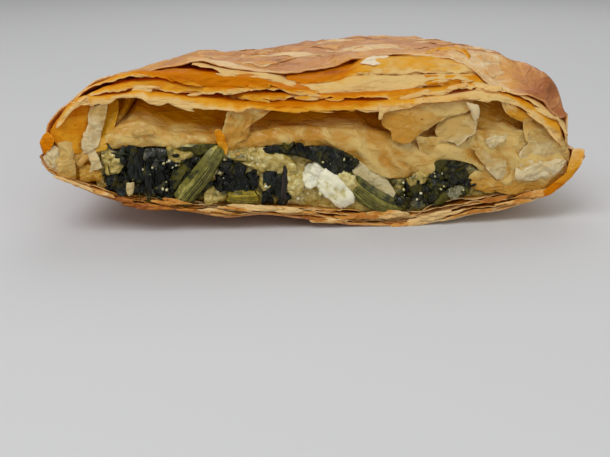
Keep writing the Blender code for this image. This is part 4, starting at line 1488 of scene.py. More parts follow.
@dataclass
class Scraps:
    """Every flap, curl and fold that stands in front of the layers."""

    parcel: Parcel

    def left(self) -> dict[str, Scrap]:
        """The folds and flakes at the left end.

        Returns:
            The scraps by name.
        """
        return {
            # Painted glow and shade: an amber sheet in the hollow at the left end, darker to its top and its
            # left.
            "hollow_left": Scrap((
                (-64.5, 27.2), (-62.5, 30), (-60.1, 31.6), (-57.3, 33.4), (-54.6, 34.2), (-53, 31),
                (-54, 25), (-57, 21.4), (-62.4, 21.8)), -42.2, 201, (0.1, 0.1), 0.3, 1.0, 4,
                tone=(0.5, 0.85), slant=-0.5, rim=0.0, depth=0.2),
            "fold_left_upright": Scrap((
                (-54.2, 33.2), (-50.4, 33.6), (-51, 30.1), (-51.7, 27.8), (-52.4, 25.5), (-53.3, 23.4),
                (-54.5, 22), (-56.6, 21), (-57.3, 22.7), (-57, 25.1), (-56.1, 27.2), (-55.2, 29.7)), -43.2,
                202, (0.25, 0.05), 0.4, 1.3, 2.6, jag=0.8, tone=(-0.1, 0.3), rim=0.15),
            "fold_left_low": Scrap((
                (-56.3, 21.8), (-54.9, 22.5), (-53.9, 22.2), (-53.2, 20.3), (-52.6, 18.1), (-53.6, 17.2),
                (-54.6, 17.4), (-55.6, 16.9), (-55, 18.9), (-55.6, 20.3)), -43.7, 203, jag=0.7,
                tone=(0.3, 0.2), rim=0.1),
            "fold_left_small": Scrap((
                (-58.6, 19.2), (-56.4, 21.4), (-55.3, 20.5), (-57.1, 18.6), (-58.3, 17.9)), -43.6, 204,
                tone=(0.35, 0.2), rim=0.15),
            "block_peach": Scrap((
                (-62.9, 24.2), (-61.3, 24.5), (-59.5, 24.1), (-58.9, 22.8), (-59.3, 20.4), (-59, 19),
                (-59.2, 15.6), (-59.5, 14.7), (-61.9, 14.9), (-63.6, 15.6), (-63.4, 18.2), (-62.6, 21)),
                -43.7, 205, (0.12, 0.05), 0.5, 0.7, 3.4, tone=(0.3, 0), rim=0.1),
            "lump_left": Scrap((
                (-67.4, 19.5), (-66.6, 21.1), (-65.5, 22.5), (-63.8, 23.6), (-62.8, 22.9), (-62.2, 20.5),
                (-62.6, 18.6), (-62.6, 15.5), (-65, 16.3), (-66.7, 17.7)), -42.9, 206, (-0.1, -0.05), 0.6,
                1.4, 2.6, tone=(0.1, -0.5), rim=0.1),
            # Painted shade and glow: a dark amber sheet in the gap, at full depth.
            "gap_left": Scrap((
                (-59.8, 22), (-56, 21.4), (-53.4, 19.6), (-52.6, 15), (-56, 13.6), (-60, 14.2)), -41.6, 212,
                (0, -0.1), 0.2, 1.0, 3.0, tone=(0.8, 0.9), rim=0.0, depth=1.0),
            "fold_green": Scrap((
                (-58.3, 17.1), (-56.6, 18.4), (-54.4, 18.2), (-52.9, 16.6), (-53, 14.4), (-55.6, 13.9),
                (-58.3, 14.3)), -42.7, 213, (0, -0.1), 0.6, 1.6, 2.4, tone=(0.5, 0.3), rim=0.0, depth=0.3),
            "tip_left": Scrap((
                (-67.4, 23.8), (-66.2, 26.1), (-64.7, 27.5), (-63.6, 25.2), (-64.7, 23.3), (-66.4, 21.5)),
                -43.2, 207, (-0.3, 0), 0.4, 1.2, 2.2, jag=0.9, tone=(1.1, 0.9), rim=0.3),
            "hump_flake": Scrap((
                (-44.9, 25.8), (-43.7, 27.3), (-41.8, 27.8), (-39.7, 27.5), (-39.3, 26.1), (-41.1, 24.3),
                (-43.4, 23.8), (-44.5, 24.6)), -43.6, 208, (0, -0.15), 0.3, 1.2, 2.6, tone=(1, 0.7),
                rim=0.4),
            # Painted shade: darker and more amber to its top, where it leans back into the dark.
            "wall_left": Scrap((
                (-51.4, 33.8), (-48.4, 34.6), (-48, 31.4), (-48.8, 28.6), (-49.8, 25.4), (-51.2, 22.2),
                (-54.4, 21.8), (-54.4, 26.4), (-53.4, 30)), -40.4, 209, (-0.2, 0.5), 0.3, 1.2, 4,
                tone=(0.45, 0.75), rim=0.0, depth=0.5),
            "chip_low": Scrap((
                (-46.7, 13.8), (-44.8, 14), (-44.8, 12.5), (-45.4, 10.8), (-46.3, 10.3), (-46.9, 11.6)),
                -44.3, 214, (0.1, -0.1), 0.3, 0.8, 2.4, tone=(0.4, 0.1), rim=0.0),
            "flake_left_outer": Scrap((
                (-60.9, 30.2), (-60.3, 31.7), (-58.8, 33.4), (-56.8, 34.9), (-54.5, 36), (-56.6, 34.1),
                (-58.7, 32.3), (-60.2, 30.6)), -43.9, 210, (0, 0), 0.2, 0.3, 2.0, jag=0.15, thickness=0.14,
                tone=(0, 0)),
        }

    def middle(self) -> dict[str, Scrap]:
        """The curls that hang in front of the filling, left of the middle and right of it.

        Returns:
            The scraps by name.
        """
        return {
            "veil": Scrap((
                (-20.6, 31.4), (-15, 32), (-9.6, 31.6), (-12.6, 29.4), (-15.2, 27.8), (-15.4, 25.4),
                (-17.2, 23), (-16.4, 20.6), (-18.8, 19.4), (-22, 20.4), (-22.6, 24.4), (-21.6, 28)), -42.9,
                220, (0, -0.02), 0.6, 1.5, 3.0, jag=0.6, tone=(0.5, 0.3), rim=0.25, depth=0.0),
            "veil_flake": Scrap((
                (-24, 26.4), (-22.8, 27), (-21.4, 25.2), (-21, 22.6), (-21.2, 20.4), (-22.4, 20.6),
                (-23.4, 23)), -43.9, 225, jag=0.6, tone=(0.5, 0.6), rim=0.2),
            "curl_bell": Scrap((
                (17.9, 30.4), (18.9, 27), (20.9, 25.3), (21.2, 23.3), (23.4, 22.5), (25.8, 22.6),
                (28.2, 24.4), (30.6, 25.5), (32.9, 27.2), (36.7, 28.8), (40.6, 29.7), (42.4, 31), (42, 34),
                (34.1, 34.6), (27.4, 34.2), (19, 33)), -43.1, 221, (0, 0.3), 0.6, 0.8, 5.0, 0.45, jag=0.6,
                tone=(0.75, -0.1), slant=-0.9, rim=0.4),
            "lip_drip": Scrap((
                (17.2, 32), (20.4, 31.8), (19, 30.2), (18.4, 28.8), (17.7, 28.7), (17.6, 30.2)), -44.2, 226,
                (0, 0), 0.2, 0.3, 2, tone=(-0.3, -0.2), rim=0.0),
            # Painted shade: darker to its top and its left.
            "petal_shell": Scrap((
                (32.8, 25.3), (34.4, 27.8), (37.2, 28.9), (40.6, 29.6), (43.1, 29.4), (43.8, 26.7),
                (43.1, 24.5), (40.5, 22.9), (38.6, 21.3), (37.6, 22.2), (34.6, 22.5), (33.1, 23.8)), -43.2,
                222, (-0.1, 0.3), 0.5, 0.7, 4.4, 0.5, tone=(0.25, 0.75), slant=-0.4, rim=0.25),
            "curl_white": Scrap((
                (40, 32.8), (43.2, 32), (43.9, 30), (43.6, 28.3), (42.5, 27.8), (41.3, 30.2)), -44.3, 223,
                (0, 0), 0.5, 0.4, 2.4, tone=(-0.4, -0.4), rim=0.0),
            "petal_orange": Scrap((
                (27.2, 24.4), (30.2, 23.7), (33.1, 23.5), (35.6, 23), (37.3, 20.7), (35.8, 19.2),
                (34.4, 18.1), (31.4, 18.9), (29.2, 19.3), (28.4, 21.4)), -43.2, 224, (0.05, -0.2), 0.4, 1.2,
                4.0, tone=(0.12, 0.2), rim=0.3),
        }

    def right(self) -> dict[str, Scrap]:
        """The soft folds at the right end.

        Returns:
            The scraps by name.
        """
        return {
            # Painted shade: darker to its top and amber, where it sits back in the hollow.
            "hollow_right": Scrap((
                (44.4, 32.2), (48.2, 33.4), (52.2, 32), (57.6, 29.4), (62.4, 26), (62.4, 22), (53, 21),
                (47.8, 21), (43.2, 24)), -38.0, 240, (0.05, 0.5), 0.2, 0.8, 5, tone=(0.1, 0.55), rim=0.0,
                depth=0.3),
            "arch_streak": Scrap((
                (49.6, 32.8), (53.2, 31.6), (56.4, 29.6), (59, 27.4), (58.2, 26.4), (55.4, 27), (53, 28),
                (51, 29.8)), -42.2, 241, (0.05, -0.3), crumple=1.3, tone=(0.45, 0.2), rim=0.5),
            "knob": Scrap((
                (45.9, 22.7), (48.3, 23.8), (50.8, 23.6), (51.2, 22.4), (49.2, 20.8), (47.6, 20.2),
                (46.3, 21.7)), -43.5, 242, (0, -0.1), 0.6, 1.4, 2.4, tone=(0.05, -0.1), rim=0.1),
            "sheet_back": Scrap((
                (50.4, 23.4), (54.8, 24.6), (59, 24.4), (58.2, 20), (56.6, 16.6), (53.5, 14.2),
                (51.4, 15.4), (49, 18.7), (48.4, 21.2)), -42.3, 243, (0, 0.05), 0.3, 1.3, 5.0, 0.5, jag=0.7,
                tone=(0.2, 0.45), rim=0.15),
            "side_wall": Scrap((
                (57, 29.8), (62, 27.8), (66, 24.6), (69.2, 20), (69.8, 15.8), (66, 15), (60, 17.4),
                (56.5, 24)), -41.9, 251, (0.1, 0.1), 0.2, 1.2, 4.6, tone=(-0.1, 0.4), rim=0.1, depth=0.1),
            "side_sheet": Scrap((
                (58.5, 25), (62.4, 23.6), (65.6, 21.2), (69.2, 17.9), (68.9, 16.1), (64.9, 15.8),
                (60.5, 15.4), (56.1, 16), (55.4, 18.2), (57.4, 21)), -42.4, 244, (0.1, 0.1), 0.2, 1.2, 4.8,
                0.5, jag=0.7, tone=(0.15, 0.6), rim=0.15),
            "fold_long": Scrap((
                (43.2, 21.7), (45.4, 20.1), (48, 18), (51.1, 17.2), (53.4, 15), (52.3, 12.1), (50, 11.7),
                (47.6, 14), (45.6, 16.6), (43.7, 18.8)), -43.1, 245, (0.1, 0.1), 0.4, 1.2, 3.4, jag=0.7,
                tone=(0.05, 0.6), rim=0.15, wet=0.7),
            "fold_round": Scrap((
                (54.6, 11.8), (54.6, 14.6), (56.4, 16.3), (59.4, 17), (63, 16.3), (65.4, 17.3),
                (68.5, 16.7), (69.1, 15.4), (66.4, 13.3), (63.6, 11.8), (59.4, 11.2)), -43.8, 246,
                (0, 0.05), 0.5, 1.3, 3.0, tone=(-0.1, -0.1), rim=0.1),
            "sheet_low": Scrap((
                (49.3, 8.6), (52.9, 10.4), (55.8, 12.2), (59.9, 12.1), (63.9, 12.6), (66.9, 13.6),
                (68.7, 15.2), (69, 12.1), (66.2, 9.9), (61.7, 8.4), (55.2, 7.4)), -43.4, 247, (0, 0.1), 0.3,
                1.2, 4.0, tone=(0.55, 0.2), rim=0.1),
            "fold_grey": Scrap((
                (42, 12.2), (44.2, 14.2), (47.4, 13.2), (51.4, 10.9), (52.3, 9), (48.5, 8.1), (44.9, 8.9),
                (42.6, 10)), -43.1, 248, crumple=1.3, tone=(0.6, 0.2), rim=0.0, wet=0.7),
            "fold_between": Scrap((
                (51.6, 15.8), (54.4, 17.4), (58, 18.2), (57.6, 14), (55.6, 11.4), (51.8, 11.4)), -42.5, 249,
                crumple=1.4, tone=(0.5, 0.35), rim=0.0),
            "fold_top": Scrap((
                (42.2, 25), (46, 24.6), (47.4, 21.6), (45, 19.4), (41.2, 20.4)), -42.6, 250, crumple=1.4,
                tone=(0.1, 0.3), rim=0.0),
        }

    def build(self) -> list[Piece]:
        """Make them all.

        Returns:
            The pieces.
        """
        soft, crisp, gold = SoftPly(), BakedPly(), linear(220, 170, 60)
        # The pale and bright copies of soft phyllo are partly the folds' own paler colour and partly painted
        # light, brightened where those folds sit in shade.
        pale = SoftPly("pale soft phyllo", linear(252, 232, 174), linear(226, 186, 104), gold)
        bright = SoftPly("bright soft phyllo", linear(252, 236, 184), linear(240, 206, 132), gold)
        made = []
        crisps = {"hollow_left", "tip_left", "flake_left_outer", "arch_streak", "lip_drip", "veil_flake"}
        brights = {"fold_round", "curl_white"}
        pales = {"hump_flake", "lump_left", "fold_left_upright", "fold_left_low", "fold_long", "knob",
                 "petal_shell", "chip_low", "sheet_back", "side_sheet"}
        for name, scrap in (self.left() | self.middle() | self.right()).items():
            slot, finish = ("baked_phyllo", crisp) if name in crisps else ("soft_phyllo", soft)
            finish = bright if name in brights else pale if name in pales else finish
            made.append(scrap.piece(name, slot, finish))
        return made


@dataclass
class BottomPlies:
    """Thin plies under the filling, pale inside and brown outside."""

    parcel: Parcel
    count: int = 6
    tone: Line = Line((
        (-66, 0.7), (-50, 1), (-40, 1), (-26, 0.8), (-10, 0.6), (6, 0.4), (22, 0.3), (40, 0.2), (56, 0.1),
        (64, 0.3), (70, 0.4)))

    def build(self) -> list[Piece]:
        """Make the plies from the inside out, and the flap that curls up at the right end.

        Returns:
            The pieces.
        """
        p = self.parcel
        base = Skin("browned base", linear(246, 208, 140), linear(234, 168, 76), linear(204, 130, 46),
                    linear(156, 86, 24), linear(90, 44, 12), 0.15, 0.25)
        made = []
        for i in range(self.count):
            share = i / (self.count - 1)
            seed = 121 + 4 * i
            x = columns(-65 - share, 69 + 3 * share, 0.33)[None, :]
            v = (np.linspace(0, 1, 18) ** 1.4)[:, None] * 11
            y = p.cut + 1.0 - 1.9 * share + torn(x, seed, 1.5) + v
            outer = p.base_z(x, p.cut + 0 * x) + 0.25
            z = p.floor(x) + 0.1 + (outer - p.floor(x)) * share + 0 * v
            z = z + 0.7 * Noise.fractal(x, y, 0, 6.5, seed, 3) * (1 - 0.5 * share)
            curl = Noise.fractal(x, 0.0, 0.0, 9, seed + 2, 4)
            z = z + 1.4 * curl * np.exp(-(v / 1.8) ** 2) * (1 - 0.5 * share)
            y = y - 0.8 * Noise.fractal(x, z, 0.0, 4, seed + 3, 3)
            points = p.bent(grid(x, np.maximum(y, -46.0), np.maximum(z, p.base_z(x, y) + 0.2)))
            tone = self.tone(x) * (0.35 + 0.65 * share)
            patch = 0.6 * Noise.fractal(x / 2, i * 5.0, 0, 6, seed + 4, 2)
            bake = tone + patch + 0.35 * ease(v / 5) - 0.35 * np.exp(-(v / 0.5) ** 2)
            solid = Solid.sheet(points, 0.2, grid(bake, 0.3 * ease(v / 4), 0), 0.2)
            made.append(solid.piece("bottom_ply_%d" % i, "baked_phyllo", base))
        flap = Scrap((
            (69.5, 19.7), (72, 19.8), (72.9, 19.1), (72.4, 16.1), (70.9, 13.1), (68.2, 10.1), (64.3, 7.6),
            (61.8, 6.9), (61.4, 7.8), (66.2, 10.4), (68.7, 13.6), (69.4, 16.7)), -44.8, 260, (0.05, 0), 0.4,
            0.5, 5.0, 0.4, tone=(1.1, 0.3), rim=0.3)
        draw = np.random.default_rng(46)
        flakes = []
        for i in range(34):
            x = -60 + 122 * ((i * GOLDEN_STEP + 0.21) % 1)
            low, high = float(p.base_z(np.array(x), np.array(p.cut))), float(p.floor(x))
            z = low + 0.4 + (high - low + 0.3) * draw.uniform(0.0, 1.0)
            slope = math.atan(float(p.floor(x + 1) - p.floor(x - 1)) / 2) + draw.uniform(-0.08, 0.08)
            outline = ragged_round(x, z, draw.uniform(2.5, 8.0), draw.uniform(0.07, 0.17), slope, draw)
            tone = draw.uniform(-0.1, 0.6) + float(self.tone(x)) * 0.6 * (1 - (z - low) / (high - low))
            tone += 0.35 * float(ease((-26 - x) / 12))
            flakes.append(Scrap(
                outline, -44.9, 760 + i, (0, 0.2), 0.2, 0.7, 2.0, jag=0.3, curl=0.4, thickness=0.14,
                tone=(tone, tone + 0.1), rings=8, spokes=44).solid())
        return [*made, flap.piece("tip_right", "baked_phyllo", BakedPly()),
                Solid.join(flakes).piece("bottom_flakes", "baked_phyllo", base)]


@dataclass
class Filling:
    """The cheese filling with its leaves, stalks, feta and beads."""

    parcel: Parcel
    soft: SoftLayer
    ends: Pair = (-54.5, 50.0)

    def core(self) -> Piece:
        """Make the lumpy core that shows between the leaves.

        Returns:
            The piece.
        """
        p = self.parcel
        x = columns(*self.ends, 0.35)[None, :]
        t = np.linspace(0, 1, 70)[:, None]
        low = p.floor(x) + 0.1
        high = np.maximum(self.soft.under(x) + 0.4, low + 0.5)
        z = low + (high - low) * t
        lumps = 1.3 * Noise.fractal(x, z, 0, 5, 141, 4) + 0.8 * Noise.fractal(x, z, 0, 1.5, 142, 3)
        back = ease((t - 0.9) / 0.1) * 6 + ease((0.06 - t) / 0.06) * 5
        y = p.cut + 2.3 - lumps + back
        dark = 0.9 * np.exp(-((x + 40) / 11) ** 2) + 0.7 * np.exp(-((x - 33) / 10) ** 2)
        bake = 0.25 + dark + 0.2 * ease((z - high + 4) / 4)
        solid = Solid.sheet(grid(x, y, z), 1.2, grid(bake, 0, 0.5))
        return solid.piece("filling_core", "spinach", Custard(), ("filling",))

    def custard(self) -> Piece:
        """Make the lumps of cheese filling that stand in front of the core.

        Returns:
            The piece.
        """
        outlines = (
            ((-52.4, 20.4), (-52, 16.6), (-50.7, 15.6), (-48.8, 16.3), (-47.4, 17.9), (-47.5, 20.2),
             (-50.5, 22.8), (-52.2, 22.5)),
            ((-36.1, 22.8), (-33.4, 21.8), (-29.6, 21.2), (-30.3, 19.4), (-33.4, 17.4), (-35.6, 19.3)),
            ((-21.9, 20.4), (-17.1, 22.2), (-12.5, 21.8), (-5.4, 19), (-3.6, 16), (-10.2, 14.8),
             (-14.9, 16.9), (-19.8, 18.7)),
            ((-13.6, 12.6), (-11.8, 14.8), (-9.6, 14.4), (-10, 11.6), (-12, 10.6)),
            ((-6.2, 15.6), (-2.6, 15.4), (-1.4, 12.4), (-2.2, 9.6), (-4.6, 8.4), (-6, 10.4)),
            ((6.6, 15.4), (9.4, 15.2), (12.2, 13.4), (14, 10.6), (12.2, 9), (9.2, 11)),
            ((25.6, 12.8), (28.8, 14.2), (31.4, 13.6), (30, 11.4), (26.8, 10.6)),
            ((-27.2, 10.4), (-23.2, 12.6), (-20.8, 11.2), (-22.6, 8.2), (-27, 7.2)),
        )
        tones = ((0.35, 0.3), (0.5, 0.4), (0.2, 0.3), (0.3, 0.3), (0.2, 0.1), (0.1, 0.1), (0.5, 0.4),
                 (0.45, 0.45))
        lumps = [Scrap(
            outline, -43.3, 300 + i, (0, 0.1), 1.0, 1.6, 1.8, 0.4, 0.7, 0.4, 0.5, tone, 0.0, 0.0, 0, 0.5)
                 for i, (outline, tone) in enumerate(zip(outlines, tones))]
        return Solid.join([lump.solid() for lump in lumps]).piece("filling_lumps", "spinach", Custard())

    def scatter(self, area: tuple[Line, Line], span: Pair, count: int, sizes: Pair, seed: int,
                bake: Pair = (0.0, 0.1), narrow: Pair = (0.25, 0.55)) -> list[Solid]:
        """Crumpled leaves spread evenly over an area of the cut.

        Args:
            area: Its lower and upper line.
            span: Its left and right end.
            count: How many leaves.
            sizes: Smallest and largest half length.
            seed: Which draw.
            bake: Least and most green.
            narrow: Least and most width as a share of the length.

        Returns:
            The leaves.
        """
        draw = np.random.default_rng(seed)
        leaves = []
        for i in range(count):
            x = span[0] + (span[1] - span[0]) * ((i * GOLDEN_STEP + 0.11) % 1)
            share = ((i * SECOND_STEP + 0.37) % 1) * 0.9 + 0.05
            low, high = float(area[0](x)), float(area[1](x))
            turn = 1.1 + draw.normal(0.0, 0.55)
            z = low + (high - low) * share
            outline = ragged_round(x, z, draw.uniform(*sizes), draw.uniform(*narrow), turn, draw)
            outline = tuple((px, float(np.clip(pz, self.parcel.floor(px) + 0.3, self.soft.under(px) + 0.8)))
                            for px, pz in outline)
            green = draw.uniform(*bake)
            leaves.append(Scrap(
                outline, self.parcel.cut + draw.uniform(0.0, 2.2), int(seed * 100 + i),
                (draw.uniform(-0.4, 0.4), draw.uniform(-0.4, 0.4)), 0.7, 1.4, 5.0, 0.6, 0.6, 1.2, 0.22,
                (green, green), 0.0, 0.0, draw.uniform(0, 0.5), 0.8, 14, 56).solid())
        return leaves

    def strands(self, spots: Sequence[tuple], seed: int, width: float = 0.35) -> list[Solid]:
        """Thin strands, each from a place at the cut to another with a bow between.

        Args:
            spots: X and Z where each begins and where it ends.
            seed: Which draw.
            width: Their usual width.

        Returns:
            The strands.
        """
        draw = np.random.default_rng(seed)
        made = []
        for x0, z0, x1, z1 in spots:
            bow = draw.uniform(-1.2, 1.2)
            middle = ((x0 + x1) / 2 + bow, -44.5, (z0 + z1) / 2 + 0.4 * bow)
            wide = width * draw.uniform(0.6, 1.8)
            path = ((x0, -43.6, z0), middle, (x1, -43.9, z1))
            made.append(stalk_solid(path, (wide, wide, 0.4 * wide), 1.0, 0, seed, 10, 0.2))
        return made

    def leaves(self) -> list[Piece]:
        """Make the leaf heaps.

        Returns:
            The pieces.
        """
        left = (Line(((-52, 14), (-46, 10.6), (-36, 9.4), (-27, 9))),
                Line(((-52, 16), (-48, 21.6), (-42, 22.4), (-36, 20.6), (-32, 16.4), (-27, 14))))
        middle = (Line(((-25, 10.5), (-14, 10.5))), Line(((-25, 13.6), (-21, 17.8), (-14, 13))))
        brown = (Line(((-13, 7.4), (-8, 6.4), (-4, 7))), Line(((-13, 11.2), (-8, 15), (-3.6, 12.8))))
        strip = (Line(((-13, 20.8), (0, 19), (10, 16))),
                 Line(((-13, 22.2), (-6, 22.2), (4, 20.8), (10, 18.8))))
        right = (Line(((21, 4.8), (30, 5), (44, 7.6))),
                 Line(((21, 8.4), (27, 11.4), (33, 13.6), (39, 16.4), (44, 12.4))))
        heaps = {
            "leaves_left": self.scatter(left, (-52, -27), 52, (2, 5.2), 5, (-0.5, 0.9), (0.2, 0.45)),
            "leaves_middle": self.scatter(middle, (-24, -14), 14, (1.8, 3.6), 6, (-0.4, 0.3)),
            "leaves_brown": self.scatter(brown, (-12, -4), 12, (1.4, 3), 7, (-0.2, 0.2)),
            "leaves_strip": self.scatter(strip, (-13, 11), 26, (1.2, 2.6), 8, (0.2, 0.9), (0.3, 0.7)),
            "leaves_right": self.scatter(right, (22, 43), 46, (1.4, 3.4), 9, (0.2, 1), (0.3, 0.7)),
        }
        outlines = {
            "leaf_slate": ((
                (-36.4, 13.1), (-35.1, 16), (-32.7, 18.8), (-29.8, 19.9), (-27, 19.6), (-27.6, 17.2),
                (-30, 14.4), (-33, 12), (-35.4, 10.2), (-36.8, 10.7)), -0.6, 0.2),
            "leaf_low": ((
                (-52.8, 15.6), (-50.4, 16.4), (-47.4, 16.6), (-45.4, 14.4), (-46.2, 12.2), (-50.2, 12.8)),
                -0.6, 0.1),
            "leaf_green": ((
                (-33.4, 22.4), (-29.7, 22.8), (-26.9, 23.2), (-23.9, 23), (-26, 21), (-29.8, 20.5)), 0.8,
                0.6),
            "leaf_middle": ((
                (-25.2, 12.7), (-22.5, 14.6), (-21, 18), (-18.1, 18.9), (-16.5, 16.9), (-16.4, 14.5),
                (-13.1, 12.9), (-13.6, 10.9), (-17.9, 10.6), (-21.7, 10.9), (-24, 11.2)), -0.4, 0.3),
            "leaf_brown": ((
                (-12, 15.4), (-10.1, 16.4), (-7.3, 16), (-6.1, 17.1), (-5.4, 14.2), (-4, 14.1),
                (-4.4, 11.2), (-5.4, 10.2), (-5.9, 6.7), (-7.9, 6.5), (-8.1, 8.8), (-10.7, 9.8),
                (-11.9, 11.9)), -0.3, 0.3),
            "leaf_long": ((
                (-13.4, 21.6), (-8.2, 22.4), (-3.5, 22), (2.6, 22.1), (7, 21.5), (11.8, 18.5), (12.8, 17.1),
                (9.5, 14.4), (4.7, 14.7), (2.4, 17.4), (-1.8, 19), (-6.4, 20.2)), 0.5, 0.6),
            "leaf_right": ((
                (32.4, 14.7), (33.3, 17.2), (36.3, 17.8), (39.3, 16.3), (42.2, 13.5), (41.2, 10.5),
                (38, 11.6), (35, 12)), 0.45, 0.5),
        }
        big = []
        for i, (outline, green, veins) in enumerate(outlines.values()):
            big.append(Scrap(
                outline, -43.3, 320 + i, (0, 0), 0.6, 1.6, 4.6, 0.8, 0.7, 0.9, 0.25, (green, green), 0.0,
                0.0, veins, 0.8).solid())
        heaps["leaves_big"] = big
        spots = (
            (-51, 24, -47, 21.4), (-50.6, 21.4, -45, 20.8), (-51, 19, -49, 14.6), (-49.6, 17, -48.4, 13),
            (-44, 12, -43.4, 6.6), (-42.6, 11, -42, 7.4), (-41, 11.4, -40.4, 6.8), (-39.6, 10, -38.2, 7),
            (-37, 10, -37.6, 7.4), (-6.4, 9, -6.6, 6), (-14.6, 12, -12.6, 8.6), (30, 9, 33, 6),
            (39, 9, 41, 7),
        )
        heaps["strands"] = self.strands(spots, 71)
        return [Solid.join(solids).piece(name, "spinach", Leaf()) for name, solids in heaps.items()]

    def stalks(self) -> list[Piece]:
        """Make the three stalks, and two thinner ones that lie in the custard.

        Returns:
            The pieces, with the pale fold and the crumb beside them.
        """
        pale = Stalk("pale stalk", linear(188, 168, 40), linear(146, 124, 6), linear(84, 74, 4), 12)
        left = ((-33.6, -43.4, 8.0), (-31, -44.5, 11.6), (-27.2, -44.8, 16.2), (-23.0, -43.8, 22.2))
        right = ((9.6, -42, 14.8), (12.6, -43.4, 10.8), (17.8, -44.1, 7.0), (25.4, -43.4, 3.9))
        stub = ((-21.2, -43.4, 9.0), (-18.6, -44.1, 9.1), (-16.4, -44.1, 9.0), (-13.4, -43.4, 8.8))
        thin = ((-34, -42.6, 22.0), (-30, -43.4, 22.2), (-26.4, -43.4, 22.0), (-23.4, -42.8, 21.2))
        upright = ((-7.0, -43.8, 6.6), (-6.9, -44.5, 9.6), (-6.5, -44.5, 13.2), (-6.4, -44.0, 17.2))
        rib = Stalk("brown stalk", linear(92, 78, 60), linear(56, 46, 38), linear(28, 24, 22), 8)
        shapes = [
            ("stalk_left", "stalk", Stalk(), ("stem_left",), left, (5.0, 5.2, 5.0, 4.0), 0.5, 9),
            ("stalk_right", "stalk", Stalk(), ("stem_right",), right, (3.0, 5.2, 5.6, 3.2), 0.5, 9),
            ("stalk_stub", "pale_stalk", pale, ("stem_stub",), stub, (3.6, 3.8, 3.8, 3.4), 0.6, 7),
            ("stalk_thin", "stalk", Stalk(), (), thin, (1.0, 1.8, 2.0, 1.4), 0.7, 4),
            ("rib_upright", "stalk", rib, (), upright, (0.9, 1.4, 1.5, 0.9), 0.7, 4),
        ]
        made = []
        for i, (name, slot, finish, nodes, path, widths, flatness, ribs) in enumerate(shapes):
            stalk = stalk_solid(path, widths, flatness, ribs, 91 + i)
            made.append(stalk.piece(name, slot, finish, nodes))
        flap = Scrap((
            (11.4, 18.7), (13.4, 17.3), (15.4, 16.2), (17.9, 14.6), (20.4, 12.5), (22.8, 8.6), (22.2, 6.8),
            (19, 8.1), (16, 10.1), (13.2, 12.6), (11, 15.2)), -43.1, 340, (0.05, 0.12), 0.5, 1.0, 4.4,
            tone=(0.15, -0.3), rim=0.1, wet=0.7).piece("flap_pale", "soft_phyllo", SoftPly(
                         "pale fold", linear(240, 222, 166), linear(214, 186, 118), linear(220, 170, 60)))
        crumb = Scrap((
            (36.1, 8.2), (36.6, 9.6), (38, 10.2), (39.3, 10.5), (40.9, 9.8), (40.5, 8.5), (39.5, 7.3),
            (37, 7.1)), -43.9, 341, (0, 0), 0.7, 1.8, 1.6, 0.6, 0.9, 0.5, tone=(0.6, 0.2), rim=0.0,
            wet=0.8).piece("crumb_grey", "feta", Feta("grey crumb", linear(150, 146, 112),
                                                                linear(104, 98, 62)))
        return [*made, flap, crumb]

    def feta(self) -> Piece:
        """Make the crumbly piece of feta beside the right stalk.

        Returns:
            The piece.
        """
        sides = ball(72, 54, 0.03)

        def lump(middle: Triple, reach: Triple, turn: float, seed: int) -> Solid:
            """A rough block round a middle, with a reach along each axis.

            Args:
                middle: Where it is.
                reach: Half its size along each axis.
                turn: Its turn at the cut, in radians.
                seed: Which unevenness.

            Returns:
                The block.
            """
            block = sum(np.abs(side) ** 3.8 for side in sides) ** (-1 / 3.8)
            lx, ly, lz = (side * block * r for side, r in zip(sides, reach))
            creases = Noise.creases(lx, ly, lz, 1.8, seed + 1) - 0.6
            rough = 1.4 * Noise.fractal(lx, ly, lz, 3.6, seed, 3) + 0.7 * creases
            scale = 1 + rough / 6
            x, z = turned(lx * scale, lz * scale, turn)
            shade = 0.1 + 0.6 * ease(-rough)
            return Solid.tube(grid(middle[0] + x, middle[1] + ly * scale, middle[2] + z), grid(shade, 0, 0.3))

        lumps = [lump((5.2, -41.4, 11.4), (7.2, 3.4, 3.4), -0.72, 171),
                 lump((1.6, -42.0, 15.4), (1.9, 2.6, 1.4), -0.3, 175),
                 lump((0.4, -41.6, 12.8), (2.2, 2.8, 2.2), 0.4, 178)]
        return Solid.join(lumps).piece("feta_piece", "feta", Feta(), ("feta_chunk",))

    def beads(self) -> Piece:
        """Make the small white beads and crumbs of cheese.

        Returns:
            The piece.
        """
        draw = np.random.default_rng(12)
        spots = [(-11.4, 11.8, 0.75), (-4.6, 12.8, 0.7), (-34, 14.6, 0.7)]
        spots += [(draw.uniform(-12, 10), draw.uniform(8, 19), draw.uniform(0.2, 0.55)) for _ in range(44)]
        spots += [(draw.uniform(24, 43), draw.uniform(7, 14), draw.uniform(0.15, 0.4)) for _ in range(20)]
        spots += [(draw.uniform(-26, -12), draw.uniform(14, 20), draw.uniform(0.2, 0.5)) for _ in range(20)]
        spots += [(draw.uniform(-50, -34), draw.uniform(11, 20), draw.uniform(0.15, 0.45)) for _ in range(26)]
        bx, by, bz = ball(12, 9, 0.05)
        made = []
        for i, (x, z, size) in enumerate(spots):
            lump = size * (1 + 0.4 * Noise.fractal(bx, by, bz, 0.9, 300 + i, 2))
            y = self.parcel.cut + 0.4 + draw.uniform(-0.6, 0.4)
            bake = 0.1 if size > 0.65 else 0.6
            paint = np.array((bake, 0.0, 0.4))
            made.append(Solid.tube(grid(x + bx * lump, y + by * lump, z + bz * lump), paint))
        return Solid.join(made).piece("cheese_beads", "feta", Feta())

    def build(self) -> list[Piece]:
        """Make the whole filling."""
        return [self.core(), self.custard(), *self.leaves(), *self.stalks(), self.feta(), self.beads()]


